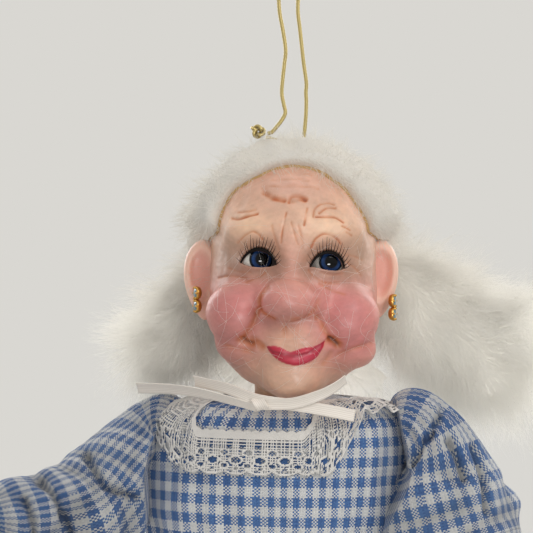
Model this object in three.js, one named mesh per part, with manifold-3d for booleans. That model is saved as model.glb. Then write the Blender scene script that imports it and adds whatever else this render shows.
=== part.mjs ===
// Hanging granny doll: clay head with a mohair wig, stuffed body with wire limbs, gingham dress.
// Millimetres. +Z is up, the doll faces -Y, and its own left hand is at +X.
// The origin is the inside of the cord loop's top, where a hook carries the doll.
import * as THREE from 'three';
import { mergeVertices } from 'three/addons/utils/BufferGeometryUtils.js';
import Module from 'manifold-3d';

const wasm = await Module();
wasm.setup();

// Fits
const restGap = 0.35;
const socketGap = 0.4;
const wireGap = 0.3;

// Hanging cord, its knot and the eye in the crown
const cordDiameter = 1.1;
const loopHeight = 53;
const loopWidth = 5.6;
const knotRadius = 1.05;
const eyeletRadius = 1.4;
const eyeletWire = 0.9;
const eyeletShank = 13;
const eyeletX = 0.6;
const eyeletY = 2.1;

// Head: skull, jaw and the lumps of the face
const skullWidth = 43.2;
const skullDepth = 43;
const skullHeight = 48;
const skullBack = 2;
const jawWidth = 42;
const jawDepth = 33;
const jawHeight = 41;
const jawRise = 7.7;
const noseWidth = 13.4;
const noseHeight = 11;
const noseRise = 7;
const bridgeWidth = 6.4;
const cheekLeftWidth = 17.4;
const cheekRightWidth = 15.4;
const chinWidth = 13;
const muzzleWidth = 21;
const browWidth = 34;
const earHeight = 20.6;
const earWidth = 9.8;
const earDepth = 6.6;
const earBack = 2.5;
const earStandLeft = 0.4;
const earStandRight = 1.2;
const neckDiameter = 16;
const eyeDiameter = 11;
const eyeSpacing = 17.4;
const lashThickness = 0.7;

// Wig
const capThickness = 0.9;
const hairWidth = 57;
const hairDepth = 52;
const hairRise = 28;
const hairlineFront = 9;
const sideHairReach = 48;
const backHairLength = 66;
const backHairWidth = 54;
const lockThickness = 15;

// Earrings: two stone cups, one above the other
const cupDiameter = 3.6;
const cupDepth = 1.7;
const cupWall = 0.3;
const earPinDiameter = 0.8;
const earPinLength = 3.2;

// Body and dress
const torsoTurn = -15;
const neckX = -2;
const neckY = 4;
const chestWidth = 62;
const chestDepth = 31;
const waistWidth = 46;
const waistDepth = 28;
const hipWidth = 51;
const hipDepth = 32;
const neckToWaist = 60;
const waistToHip = 31;
const clothThickness = 1;
const blouseSlack = 4.6;
const pegDiameter = 6;
const pegInHead = 14;
const pegInBody = 18;
const collarWidth = 11;
const collarThickness = 0.6;
const ribbonWidth = 3;
const ribbonThickness = 0.5;
const buttonDiameter = 4;
const buttonThickness = 1.2;
const buttonPitch = 9;
const skirtLength = 66;
const hemWidth = 93;
const hemDepth = 77;
const skirtFolds = 12;

// Arms
const shoulderSpan = 72;
const shoulderDrop = 8.7;
const shoulderBall = 10;
const upperArmLength = 32;
const armThickness = 9;
const elbowBall = 9.2;
const forearmLength = 30;
const wristThickness = 6;
const armWire = 1.6;
const sleevePuff = 36;
const trimFineness = 0.03;
const gatherLean = { left: 0.33, right: 0.25 };
const sleeveRoot = 19;
const cuffDiameter = 13;
const handLength = 20;

// Legs
const hipSpan = 25;
const hipBall = 14;
const thighLength = 43;
const thighThickness = 14.4;
const kneeBall = 11;
const shinLength = 54;
const calfThickness = 11.4;
const ankleThickness = 8;
const legWire = 2;
const bloomerWidth = 21;
const shoeLength = 27;
const shoeWidth = 12.5;
const shoeHeight = 12;

// Heights
const hairTop = -loopHeight;
const skullZ = hairTop - 4 - skullHeight / 2;
const eyeZ = hairTop - 31.8;
const noseZ = hairTop - 41.7;
const cheekZ = hairTop - 46;
const mouthZ = hairTop - 53;
const chinZ = hairTop - 62;
const neckEnd = hairTop - 67.4;
const neckHole = hairTop - 66.3;
const waistZ = neckHole - neckToWaist;
const hipZ = waistZ - waistToHip;
const shoulderZ = neckHole - shoulderDrop;
const kneeZ = hipZ - thighLength;
const ankleZ = kneeZ - shinLength;

const paint = (color, roughness, metalness = 0) =>
  new THREE.MeshStandardMaterial({ color, roughness, metalness });
const finish = {
  clay: paint('#e3b89c', 0.55),
  acrylic: paint('#3d5f86', 0.08),
  lash: paint('#2a1c14', 0.7),
  cap: paint('#c9a988', 0.9),
  mohair: paint('#ebe6da', 0.95),
  gold: paint('#c8a04a', 0.3, 1),
  stone: paint('#8ea9b6', 0.05),
  steel: paint('#b9bcbf', 0.35, 1),
  cord: paint('#bfa866', 0.4, 0.6),
  muslin: paint('#e8d8c4', 0.95),
  gingham: paint('#6f8fbd', 0.9),
  lace: paint('#efece6', 0.9),
  satin: paint('#eee6d8', 0.35),
  cotton: paint('#f2efe8', 0.9),
  knit: paint('#e9e6e0', 0.92),
  shoe: paint('#1d1a1a', 0.3),
  wood: paint('#d3b083', 0.7),
  pearl: paint('#f0eadf', 0.2),
};

const doll = new THREE.Group();
doll.name = 'hanging_doll';
const body = new THREE.Group();
body.position.set(neckX, neckY, 0);
body.rotation.z = THREE.MathUtils.degToRad(torsoTurn);
doll.add(body);
body.updateMatrix();

// A geometry's points and faces, with doubled points and empty faces taken out
const clean = (geometry) => {
  const bare = new THREE.BufferGeometry();
  bare.setAttribute('position', geometry.getAttribute('position'));
  if (geometry.index) {
    bare.setIndex(geometry.index);
  }
  const merged = mergeVertices(bare, 1e-4);
  const corners = merged.index.array;
  const kept = [];
  for (let i = 0; i < corners.length; i += 3) {
    const [a, b, c] = [corners[i], corners[i + 1], corners[i + 2]];
    if (a !== b && b !== c && c !== a) {
      kept.push(a, b, c);
    }
  }
  merged.setIndex(kept);
  return merged;
};

const solid = (geometry) => {
  const tidy = clean(geometry);
  return new wasm.Manifold(
    new wasm.Mesh({
      numProp: 3,
      vertProperties: new Float32Array(tidy.getAttribute('position').array),
      triVerts: new Uint32Array(tidy.index.array),
    }),
  );
};

const skinOf = (form) => {
  const held = form.getMesh();
  const geometry = new THREE.BufferGeometry();
  geometry.setAttribute('position', new THREE.BufferAttribute(new Float32Array(held.vertProperties), 3));
  geometry.setIndex(Array.from(held.triVerts));
  return geometry;
};

const add = (name, form, material, parent = doll) => {
  const geometry = form.isBufferGeometry ? clean(form) : skinOf(form);
  geometry.computeVertexNormals();
  const mesh = new THREE.Mesh(geometry, material);
  mesh.name = name;
  parent.add(mesh);
};

const join = (...forms) => forms.reduce((whole, form) => whole.add(form));
const cut = (form, ...tools) => tools.reduce((whole, tool) => whole.subtract(tool), form);

// The largest of the bodies that a cut leaves
const biggest = (form) =>
  form.decompose().reduce((most, piece) => (piece.volume() > most.volume() ? piece : most));

const egg = ([x, y, z], [width, depth, height], around = 12, down = 9) => {
  const geometry = new THREE.SphereGeometry(0.5, around, down);
  geometry.rotateX(Math.PI / 2);
  geometry.scale(width, depth, height);
  geometry.translate(x, y, z);
  return solid(geometry);
};

const block = ([x, y, z], [width, depth, height]) =>
  solid(new THREE.BoxGeometry(width, depth, height).translate(x, y, z));

// A turned form about Z, from [radius, height] pairs that close on themselves
const turned = (profile, around = 10) => {
  const points = [...profile, profile[0]].map(([r, z]) => new THREE.Vector2(r, z));
  const geometry = new THREE.LatheGeometry(points, around);
  geometry.rotateX(Math.PI / 2);
  return facingOut(clean(geometry));
};

// A round bar from one point to another
const rod = (from, to, diameter, around = 10) => {
  const start = new THREE.Vector3(...from);
  const run = new THREE.Vector3(...to).sub(start);
  const geometry = new THREE.CylinderGeometry(diameter / 2, diameter / 2, run.length(), around);
  geometry.translate(0, run.length() / 2, 0);
  geometry.applyQuaternion(
    new THREE.Quaternion().setFromUnitVectors(new THREE.Vector3(0, 1, 0), run.normalize()),
  );
  geometry.translate(...from);
  return solid(geometry);
};

const facingOut = (geometry) => {
  const at = geometry.getAttribute('position');
  const corners = Array.from(geometry.index.array);
  const [p, q, r] = [new THREE.Vector3(), new THREE.Vector3(), new THREE.Vector3()];
  let volume = 0;
  for (let i = 0; i < corners.length; i += 3) {
    p.fromBufferAttribute(at, corners[i]);
    q.fromBufferAttribute(at, corners[i + 1]);
    r.fromBufferAttribute(at, corners[i + 2]);
    volume += p.dot(q.cross(r));
  }
  if (volume < 0) {
    corners.reverse();
  }
  geometry.setIndex(corners);
  return geometry;
};

// A skin over closed rings of points; `round` carries the last ring on to the first
const loft = (rings, round = false) => {
  const around = rings[0].length;
  const points = rings.flat();
  const faces = [];
  const count = round ? rings.length : rings.length - 1;
  for (let i = 0; i < count; i += 1) {
    const next = (i + 1) % rings.length;
    for (let k = 0; k < around; k += 1) {
      const step = (k + 1) % around;
      const a = i * around + k;
      const b = i * around + step;
      const c = next * around + step;
      const d = next * around + k;
      faces.push(a, b, c, a, c, d);
    }
  }
  if (!round) {
    const ends = [rings[0], rings[rings.length - 1]];
    ends.forEach((ring, end) => {
      const middle = [0, 1, 2].map((axis) => ring.reduce((sum, point) => sum + point[axis], 0) / around);
      const hub = points.push(middle) - 1;
      const base = end * (rings.length - 1) * around;
      for (let k = 0; k < around; k += 1) {
        const step = (k + 1) % around;
        faces.push(...(end ? [base + k, base + step, hub] : [base + step, base + k, hub]));
      }
    });
  }
  const geometry = new THREE.BufferGeometry();
  geometry.setAttribute('position', new THREE.Float32BufferAttribute(points.flat(), 3));
  geometry.setIndex(faces);
  return facingOut(geometry);
};

// Hanging cord: out of its knot, through the crown eye, up, over the hook and down again
const cordPoints = [
  [-7.0, 2.6, 0.3],
  [-5.2, 2.9, -0.2],
  [-2.6, 2.6, -1.1],
  [-0.8, 2.3, -1.55],
  [eyeletX, eyeletY, -1.7],
  [2.1, 1.9, -1.25],
  [2.9, 1.7, 0.1],
  [3.1, 1.4, 2.4],
  [3.4, 1.2, 6],
  [3.5, 1.0, 9.5],
  [3.4, 0.9, 12],
  [3.5, 0.8, 14.5],
  [2.8, 0.6, 19.5],
  [2.3, 0.5, 24],
  [1.8, 0.4, 28.5],
  [1.3, 0.3, 33],
  [1.5, 0.2, 38],
  [2.2, 0.1, 43],
  [loopWidth / 2, 0, loopHeight - 4.2],
  [loopWidth / 2 - 0.7, 0, loopHeight - 1.3],
  [0, 0, loopHeight + cordDiameter / 2],
  [0.7 - loopWidth / 2, 0, loopHeight - 1.3],
  [-loopWidth / 2, 0, loopHeight - 4.2],
  [-3.3, 0.1, 43],
  [-3.7, 0.2, 38],
  [-3.5, 0.3, 33],
  [-2.6, 0.4, 28],
  [-1.9, 0.5, 23],
  [-2.2, 0.6, 19.5],
  [-2.6, 0.8, 16],
  [-2.9, 0.9, 11.8],
  [-2.4, 1.0, 8.8],
  [-2.0, 1.1, 6.6],
  [-2.9, 1.3, 4.7],
  [-4.3, 1.6, 2.9],
  [-5.5, 1.8, 1.6],
  [-6.6, 1.9, 1.25],
];
const cordCurve = new THREE.CatmullRomCurve3(
  cordPoints.map(([x, y, rise]) => new THREE.Vector3(x, y, hairTop + rise)),
);
const circle = (radius, sides) => {
  const shape = new THREE.Shape();
  for (let i = 0; i < sides; i += 1) {
    const angle = (i / sides) * 2 * Math.PI;
    const [x, y] = [radius * Math.cos(angle), radius * Math.sin(angle)];
    if (i === 0) {
      shape.moveTo(x, y);
    } else {
      shape.lineTo(x, y);
    }
  }
  shape.closePath();
  return shape;
};
const cordTube = (diameter, steps, sides) =>
  solid(
    new THREE.ExtrudeGeometry(circle(diameter / 2, sides), {
      steps,
      extrudePath: cordCurve,
      curveSegments: 1,
    }),
  );
add('hanging_cord', cordTube(cordDiameter, 44, 8), finish.cord);

const knot = new THREE.TorusKnotGeometry(knotRadius, 0.42, 32, 5, 2, 3);
knot.rotateX(Math.PI / 2);
knot.translate(-9.35, 2.2, hairTop + 0.85);
add('cord_knot', solid(knot), finish.cord);

const eyeletZ = hairTop - 1.8;
const eyeletRing = new THREE.TorusGeometry(eyeletRadius, eyeletWire / 2, 6, 14);
eyeletRing.rotateY(Math.PI / 2);
eyeletRing.translate(eyeletX, eyeletY, eyeletZ);
const shankTop = eyeletZ - eyeletRadius;
add(
  'crown_eye',
  join(
    solid(eyeletRing),
    rod([eyeletX, eyeletY, shankTop], [eyeletX, eyeletY, shankTop - eyeletShank], eyeletWire),
  ),
  finish.steel,
);

// Head
const skull = (grow) =>
  egg(
    [0, skullBack, skullZ],
    [skullWidth + 2 * grow, skullDepth + 2 * grow, skullHeight + 2 * grow],
    18,
    12,
  );
const jaw = (grow) =>
  egg([0, -4, mouthZ + jawRise], [jawWidth + 2 * grow, jawDepth + 2 * grow, jawHeight + 2 * grow], 14, 10);
const brow = (grow) =>
  egg([0, -13, eyeZ + 6.5], [browWidth + 2 * grow, 14.4 + 2 * grow, 10 + 2 * grow]);
const noseTip = [-1.6, -22.6, noseZ];
const ears = {
  left: [jawWidth / 2 + earStandLeft, earBack, eyeZ - earHeight * 0.243],
  right: [-jawWidth / 2 - earStandRight, earBack, eyeZ - earHeight * 0.262],
};
const ear = (side, grow) =>
  egg(ears[side], [earWidth + 2 * grow, earDepth + 2 * grow, earHeight + 2 * grow], 10, 8);
const eyeAt = {
  left: [eyeSpacing / 2 - 0.5, -13, eyeZ - 0.4],
  right: [-eyeSpacing / 2 - 0.5, -13, eyeZ + 0.4],
};
const neckRod = (grow) =>
  rod([neckX, neckY, neckHole + 22], [neckX, neckY, neckEnd - grow], neckDiameter + 2 * grow, 16);
const face = join(
  skull(0),
  jaw(0),
  brow(0),
  egg(noseTip, [noseWidth, 2 * noseRise, noseHeight]),
  egg([-0.8, -17.6, eyeZ - 2.4], [bridgeWidth, 9, 19], 10, 8),
  egg([12.9, -13.4, cheekZ - 0.6], [cheekLeftWidth, 16.6, 16.6]),
  egg([-14.6, -13.4, cheekZ + 0.4], [cheekRightWidth, 16, 15.4]),
  egg([0.4, -15.4, mouthZ + 0.6], [muzzleWidth, 12.8, 13.6]),
  egg([-0.2, -15.2, chinZ], [chinWidth, 11, 10.6]),
  ear('left', 0),
  ear('right', 0),
  neckRod(0),
);

// Earrings turn outward by two thirds of a right angle from the front of the lobes
const earringTurn = { left: 60, right: -60 };
const lobes = {
  left: [
    ears.left[0] + earWidth * 0.327,
    ears.left[1] - earDepth * 0.591,
    ears.left[2] - earHeight * 0.301,
  ],
  right: [
    ears.right[0] - earWidth * 0.153,
    ears.right[1] - earDepth * 0.621,
    ears.right[2] - earHeight * 0.184,
  ],
};
const facing = (side) => new THREE.Matrix4()
  .makeRotationZ(THREE.MathUtils.degToRad(earringTurn[side]))
  .setPosition(...lobes[side]);
const pinHole = (side, grow) =>
  skinOf(rod([0, -0.4, 0], [0, earPinLength, 0], earPinDiameter + 2 * grow, 8)).applyMatrix4(facing(side));

const headBores = [
  egg(eyeAt.left, Array(3).fill(eyeDiameter + 2 * restGap)),
  egg(eyeAt.right, Array(3).fill(eyeDiameter + 2 * restGap)),
  rod([eyeletX, eyeletY, hairTop], [eyeletX, eyeletY, shankTop - eyeletShank - 1], eyeletWire + 2 * wireGap),
  rod([neckX, neckY, neckEnd - 2], [neckX, neckY, neckEnd + pegInHead + 0.5], pegDiameter + 2 * wireGap, 16),
  solid(pinHole('left', wireGap)),
  solid(pinHole('right', wireGap)),
];
add('head', cut(face, ...headBores), finish.clay);

['left', 'right'].forEach((side) => {
  const [x, y, z] = eyeAt[side];
  add(`eye_${side}`, egg(eyeAt[side], Array(3).fill(eyeDiameter)), finish.acrylic);
  // Lash strip: an arc over the eyeball, above its middle
  const reach = eyeDiameter / 2 + restGap + lashThickness / 2;
  const arc = [];
  for (let i = 0; i <= 8; i += 1) {
    const swing = THREE.MathUtils.degToRad(-34 + i * 8.5);
    const lift = THREE.MathUtils.degToRad(36 - 10 * (i / 4 - 1) ** 2);
    arc.push(
      new THREE.Vector3(
        x + reach * Math.sin(swing) * Math.cos(lift),
        y - reach * Math.cos(swing) * Math.cos(lift),
        z + reach * Math.sin(lift),
      ),
    );
  }
  const strip = new THREE.ExtrudeGeometry(circle(lashThickness / 2, 6), {
    steps: 10,
    extrudePath: new THREE.CatmullRomCurve3(arc),
    curveSegments: 1,
  });
  add(`lashes_${side}`, cut(solid(strip), brow(restGap), skull(restGap)), finish.lash);
});

['left', 'right'].forEach((side) => {
  const cup = (drop) => {
    const outside = cupDiameter / 2;
    const profile = [
      [0, 0],
      [outside, 0],
      [outside, cupDepth],
      [outside - cupWall, cupDepth],
      [outside - cupWall, 0.5],
      [0, 0.5],
    ];
    return turned(profile, 10).rotateX(Math.PI / 2).translate(0, -restGap, -drop);
  };
  const pitch = cupDiameter - 0.2;
  const setting = join(
    solid(cup(0).applyMatrix4(facing(side))),
    solid(cup(pitch).applyMatrix4(facing(side))),
    solid(pinHole(side, 0)),
  );
  add(`earring_${side}`, setting, finish.gold);
  ['upper', 'lower'].forEach((place, row) => {
    const girdle = cupDiameter / 2 - cupWall - restGap;
    const seat = 0.5 + restGap;
    const profile = [
      [0, seat],
      [girdle * 0.6, seat],
      [girdle, seat + 0.7],
      [girdle * 0.62, seat + 1.2],
      [0, seat + 1.2],
    ];
    const gem = turned(profile, 8).rotateX(Math.PI / 2).translate(0, -restGap, -row * pitch);
    add(`stone_${side}_${place}`, gem.applyMatrix4(facing(side)), finish.stone);
  });
});

// Wig: a cap glued to the skull behind the hairline, and the mohair sewn to it
const inFront = (edge) => block([0, -edge - 40, skullZ], [120, 80, 200]);
const earRoom = (side) => {
  const [x, , z] = ears[side];
  const half = earHeight / 2 + 1.2;
  return block([x + Math.sign(x) * 10, 6.4 - 20, z - 30 + half], [28, 40, 60]);
};
const crownHole = rod([2 * eyeletX, eyeletY, skullZ], [2 * eyeletX, eyeletY, 0], 2 * eyeletRadius * 2.29, 14);
add(
  'wig_cap',
  biggest(
    cut(
      skull(restGap + capThickness),
      skull(restGap),
      inFront(hairlineFront),
      block([0, 0, skullZ - 62], [120, 120, 100]),
      earRoom('left'),
      earRoom('right'),
      jaw(restGap),
      crownHole,
      neckRod(restGap),
    ),
  ),
  finish.cap,
);
const hairMiddle = [0, 3, hairTop - hairRise];
const hairFits = 2 * restGap + capThickness;
const crownHair = (grow) =>
  cut(
    egg(hairMiddle, [hairWidth + 2 * grow, hairDepth + 2 * grow, 2 * hairRise + 2 * grow], 20, 12),
    inFront(hairlineFront - 1),
    block([0, 0, skullZ - 68], [120, 120, 100]),
    earRoom('left'),
    earRoom('right'),
  );
add(
  'hair_crown',
  biggest(
    cut(
      crownHair(0),
      skull(hairFits),
      jaw(restGap),
      crownHole,
      cordTube(cordDiameter + 2 * restGap, 44, 8),
      neckRod(restGap),
    ),
  ),
  finish.mohair,
);

// Body: rings of [height, half width, half depth] from the neck to the seat
const bodyRings = (grow) => {
  const [cw, cd] = [chestWidth / 2, chestDepth / 2];
  const [ww, wd] = [waistWidth / 2, waistDepth / 2];
  const [hw, hd] = [hipWidth / 2, hipDepth / 2];
  const top = neckHole - 1.5;
  const fall = waistZ - top;
  return [
    [top, 8.4, 8.4],
    [top - 0.7, cw * 0.5, cd * 0.66],
    [top - 2.6, cw * 0.78, cd * 0.8],
    [top - 6, cw * 0.95, cd * 0.93],
    [top + fall * 0.19, cw, cd],
    [top + fall * 0.36, cw * 0.985, cd * 1.05],
    [top + fall * 0.56, cw * 0.95, cd * 1.06],
    [top + fall * 0.8, cw * 0.86, cd * 1.0],
    [waistZ, ww, wd],
    [waistZ - waistToHip * 0.35, (ww + hw) / 2, (wd + hd) / 2],
    [waistZ - waistToHip * 0.7, hw, hd],
    [hipZ + 0.5, hw * 0.94, hd * 0.9],
  ].map(([z, a, b], i) => [i < 9 ? z + grow : z, a + grow, b + grow, 0]);
};
// A place on a ring; `slack` widens the half on the doll's right
const onRing = ([z, a, b, slack], angle) => {
  const wide = Math.sin(angle) < 0 ? a + slack : a;
  return [wide * Math.sin(angle), -b * Math.cos(angle), z];
};
const ringAt = (shape, around) => {
  const ring = [];
  for (let k = 0; k < around; k += 1) {
    const angle = (k / around) * 2 * Math.PI;
    ring.push(onRing(shape, angle));
  }
  return ring;
};
const shell = (outer, inner) => loft([...outer, ...inner.slice().reverse()], true);
const aroundBody = 24;
const shoulders = {
  left: [shoulderSpan / 2, 0, shoulderZ],
  right: [-shoulderSpan / 2, 0, shoulderZ],
};
const hips = { left: [hipSpan / 2, 0, hipZ], right: [-hipSpan / 2, 0, hipZ] };
const ball = (at, diameter) => egg(at, Array(3).fill(diameter));

const stuffing = solid(loft(bodyRings(0).map((ring) => ringAt(ring, aroundBody))));
add(
  'body_stuffing',
  cut(
    stuffing,
    ball(shoulders.left, shoulderBall + 2 * socketGap),
    ball(shoulders.right, shoulderBall + 2 * socketGap),
    ball(hips.left, hipBall + 2 * socketGap),
    ball(hips.right, hipBall + 2 * socketGap),
    rod([0, 0, neckHole + 5], [0, 0, neckEnd - pegInBody], pegDiameter + 2 * wireGap, 16),
  ),
  finish.muslin,
  body,
);
add(
  'neck_peg',
  rod([0, 0, neckEnd + pegInHead], [0, 0, neckEnd - pegInBody + wireGap], pegDiameter, 16),
  finish.wood,
  body,
);

// The bodice hangs slack on the doll's right side, below the bust
const slackAt = [0, 0, 0, 0, 0.1, 0.5, 1, 0.9, 0].map((share) => share * blouseSlack);
const bodicePart = (grow) =>
  slackAt.map((slack, i) => {
    const [z, a, b] = bodyRings(grow)[i];
    return [z, a, b, slack];
  });
const bodiceOuter = (grow) =>
  solid(loft(bodicePart(restGap + clothThickness + grow).map((ring) => ringAt(ring, aroundBody))));
const bodiceWall = solid(
  shell(
    bodicePart(restGap + clothThickness).map((ring) => ringAt(ring, aroundBody)),
    bodicePart(restGap).map((ring) => ringAt(ring, aroundBody)),
  ),
);
const armhole = shoulderBall + 5;
add(
  'bodice',
  cut(bodiceWall, ball(shoulders.left, armhole), ball(shoulders.right, armhole)),
  finish.gingham,
  body,
);

// Height, half width and half depth of the bodice at a place along its rings
const along = (rings, place) => {
  const low = Math.min(Math.floor(place), rings.length - 2);
  const share = place - low;
  return rings[low].map((value, i) => value * (1 - share) + rings[low + 1][i] * share);
};
const collarLift = restGap + clothThickness + 0.5;
const collarSteps = 42;
const collarRow = (share, lift) => {
  const rings = bodicePart(lift);
  const row = [];
  for (let k = 0; k < collarSteps; k += 1) {
    const angle = (k / collarSteps) * 2 * Math.PI;
    const front = Math.abs(Math.cos(angle)) ** 1.5;
    const inner = 1.25 + 2.5 * front;
    const reach = (collarWidth / 11) * (1.4 - 0.25 * front);
    const scallop = share > 0.9 ? 0.1 * Math.cos((k * 2 * Math.PI) / 3) : 0;
    row.push(onRing(along(rings, inner + reach * (share + scallop)), angle));
  }
  return row;
};
const shares = [0, 0.33, 0.67, 1];
add(
  'lace_collar',
  loft(
    [
      ...shares.map((share) => collarRow(share, collarLift + collarThickness)),
      ...shares.slice().reverse().map((share) => collarRow(share, collarLift)),
    ],
    true,
  ),
  finish.lace,
  body,
);

// Satin ribbon: a flat bow under the chin, with its long end lying over the doll's right shoulder
const band = (points, facingOf) => {
  const curve = new THREE.CatmullRomCurve3(points.map((point) => new THREE.Vector3(...point)));
  const steps = points.length * 2;
  const rings = [];
  for (let i = 0; i <= steps; i += 1) {
    const at = curve.getPoint(i / steps);
    const run = curve.getTangent(i / steps);
    const out = new THREE.Vector3(...facingOf(i / steps));
    const across = new THREE.Vector3().crossVectors(run, out).normalize().multiplyScalar(ribbonWidth / 2);
    out.crossVectors(across, run).normalize().multiplyScalar(ribbonThickness / 2);
    rings.push(
      [
        [1, 1],
        [-1, 1],
        [-1, -1],
        [1, -1],
      ].map(([s, t]) => at.clone().addScaledVector(across, s).addScaledVector(out, t).toArray()),
    );
  }
  return solid(loft(rings));
};
const bowZ = neckHole - 4.3;
const bowY = -chestDepth / 2 - 3.4;
add(
  'neck_ribbon',
  join(
    band(
      [
        [-1, bowY, bowZ],
        [-10, bowY + 2.2, bowZ + 1.2],
        [-21, bowY + 5.8, bowZ + 2.6],
        [-29, bowY + 8.6, bowZ + 4.2],
        [-38, bowY + 11, bowZ + 5],
      ],
      (share) => [-0.35 * share, -1, 0.5 * share],
    ),
    band(
      [
        [1, bowY, bowZ + 0.2],
        [-8, bowY - 0.2, bowZ + 0.6],
        [-17, bowY + 1.6, bowZ + 3],
        [-23, bowY + 4.4, bowZ + 5.6],
      ],
      (share) => [-0.3 * share, -1, 0.4 * share],
    ),
    band(
      [
        [-1, bowY, bowZ + 0.1],
        [7, bowY - 0.2, bowZ - 0.8],
        [14, bowY + 1.4, bowZ - 2],
        [20, bowY + 3.6, bowZ - 3],
      ],
      (share) => [0.3 * share, -1, 0.2],
    ),
    egg([0, bowY, bowZ], [4.4, 2.2, 3.4], 12, 8),
  ),
  finish.satin,
  body,
);

['top', 'middle', 'bottom'].forEach((place, row) => {
  const z = waistZ + 6 + (2 - row) * buttonPitch;
  const rings = bodicePart(restGap + clothThickness);
  const below = rings.findIndex(([height]) => height < z);
  const share = (rings[below - 1][0] - z) / (rings[below - 1][0] - rings[below][0]);
  const back = along(rings, below - 1 + share)[2] + restGap;
  const slope = (rings[below - 1][2] - rings[below][2]) / (rings[below - 1][0] - rings[below][0]);
  const clear = back + (Math.abs(slope) * buttonDiameter) / 2;
  const disc = rod([0, clear, z], [0, clear + buttonThickness, z], buttonDiameter, 14);
  add(`button_${place}`, disc, finish.pearl, body);
});

// Skirt: gathered at the waist, with folds that deepen to the hem
const skirtTop = waistZ - restGap;
const skirtWall = (inset) => {
  const profile = [
    [0, waistWidth / 2 + 1.6, waistDepth / 2 + 1.6, 0],
    [0.06, waistWidth / 2 + 4.5, waistDepth / 2 + 4.5, 0.03],
    [0.18, waistWidth / 2 + 8.4, waistDepth / 2 + 8.6, 0.045],
    [0.38, hemWidth * 0.4, hemDepth * 0.385, 0.045],
    [0.6, hemWidth * 0.446, hemDepth * 0.44, 0.05],
    [0.82, hemWidth * 0.482, hemDepth * 0.478, 0.06],
    [1, hemWidth / 2, hemDepth / 2, 0.065],
  ];
  const around = skirtFolds * 4;
  return profile.map(([share, a, b, depth], level) => {
    const ring = [];
    for (let k = 0; k < around; k += 1) {
      const angle = (k / around) * 2 * Math.PI;
      const fold = 1 + depth * Math.cos(skirtFolds * angle + 0.5 * Math.sin(2 * angle + level * 0.15));
      ring.push([
        (a * fold - inset) * Math.sin(angle),
        -(b * fold - inset) * Math.cos(angle),
        skirtTop - share * skirtLength,
      ]);
    }
    return ring;
  });
};
add('skirt', solid(shell(skirtWall(0), skirtWall(clothThickness))), finish.gingham, body);

// Limbs hang along -Z from their pivot and are then swung to their own direction
const aimed = (geometry, from, toward) => {
  const turn = new THREE.Quaternion().setFromUnitVectors(new THREE.Vector3(0, 0, -1), toward);
  return geometry.applyQuaternion(turn).translate(from.x, from.y, from.z);
};
const arcPoints = (radius, from, to, count, middle) => {
  const points = [];
  for (let i = 0; i <= count; i += 1) {
    const angle = THREE.MathUtils.degToRad(from + ((to - from) * i) / count);
    points.push([radius * Math.sin(angle), middle + radius * Math.cos(angle)]);
  }
  return points;
};
const poleAngle = (bore, radius) => THREE.MathUtils.radToDeg(Math.asin(bore / radius));
const cupAngle = 40;
// A stuffed limb: ball at its pivot, swelling shaft, and a cup that takes the next ball
const jointedLimb = (headBall, nextBall, length, thickness, wire) => {
  const bore = wire / 2 + wireGap;
  const cup = nextBall / 2 + socketGap;
  return turned([
    ...arcPoints(headBall / 2, poleAngle(bore, headBall / 2), 122, 5, 0),
    [thickness * 0.47, -length * 0.24],
    [thickness * 0.5, -length * 0.42],
    [thickness * 0.46, -length * 0.62],
    [cup * Math.sin(THREE.MathUtils.degToRad(cupAngle)) + 0.5, -length + cup * 1.25],
    ...arcPoints(cup, cupAngle, poleAngle(bore, cup), 3, -length),
  ]);
};
const endLimb = (headBall, length, thickness, endThickness, wire) => {
  const bore = wire / 2 + wireGap;
  return turned([
    ...arcPoints(headBall / 2, poleAngle(bore, headBall / 2), 122, 5, 0),
    [thickness * 0.48, -length * 0.22],
    [thickness * 0.5, -length * 0.36],
    [thickness * 0.44, -length * 0.58],
    [endThickness / 2 + 0.1, -length * 0.84],
    [endThickness / 2, -length],
    [bore, -length],
  ]);
};
const wireBar = (top, bottom, diameter) => skinOf(rod([0, 0, top], [0, 0, bottom], diameter, 8));

const armRun = {
  left: { upper: [7.9, -1.7, -32], fore: [13.7, -4.6, -26] },
  right: { upper: [-14, -21, -18], fore: [-22.2, -19, -4.2] },
};
const wristIn = 6;
const handForm = () => {
  const palm = handLength * 0.5;
  const fingers = [-1, 0, 1, 2].map((i) => {
    const reach = palm * 1.2 - Math.abs(i - 0.5) * 0.9;
    return egg([(i - 0.5) * 2.25, 0.5, -palm * 0.85 - reach / 2], [2.4, 2.5, reach], 6, 5);
  });
  return cut(
    join(
      rod([0, 0, 0], [0, 0, -palm * 0.6], wristThickness - 0.4, 10),
      egg([0, 0.2, -palm * 0.72], [9.2, 5, palm * 1.05], 10, 6),
      ...fingers,
      egg([4.6, 0.6, -palm * 0.85], [5, 2.7, palm * 0.85], 6, 5),
    ),
    rod([0, 0, 1], [0, 0, -wristIn - wireGap], armWire + 2 * wireGap, 8),
  );
};

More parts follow.
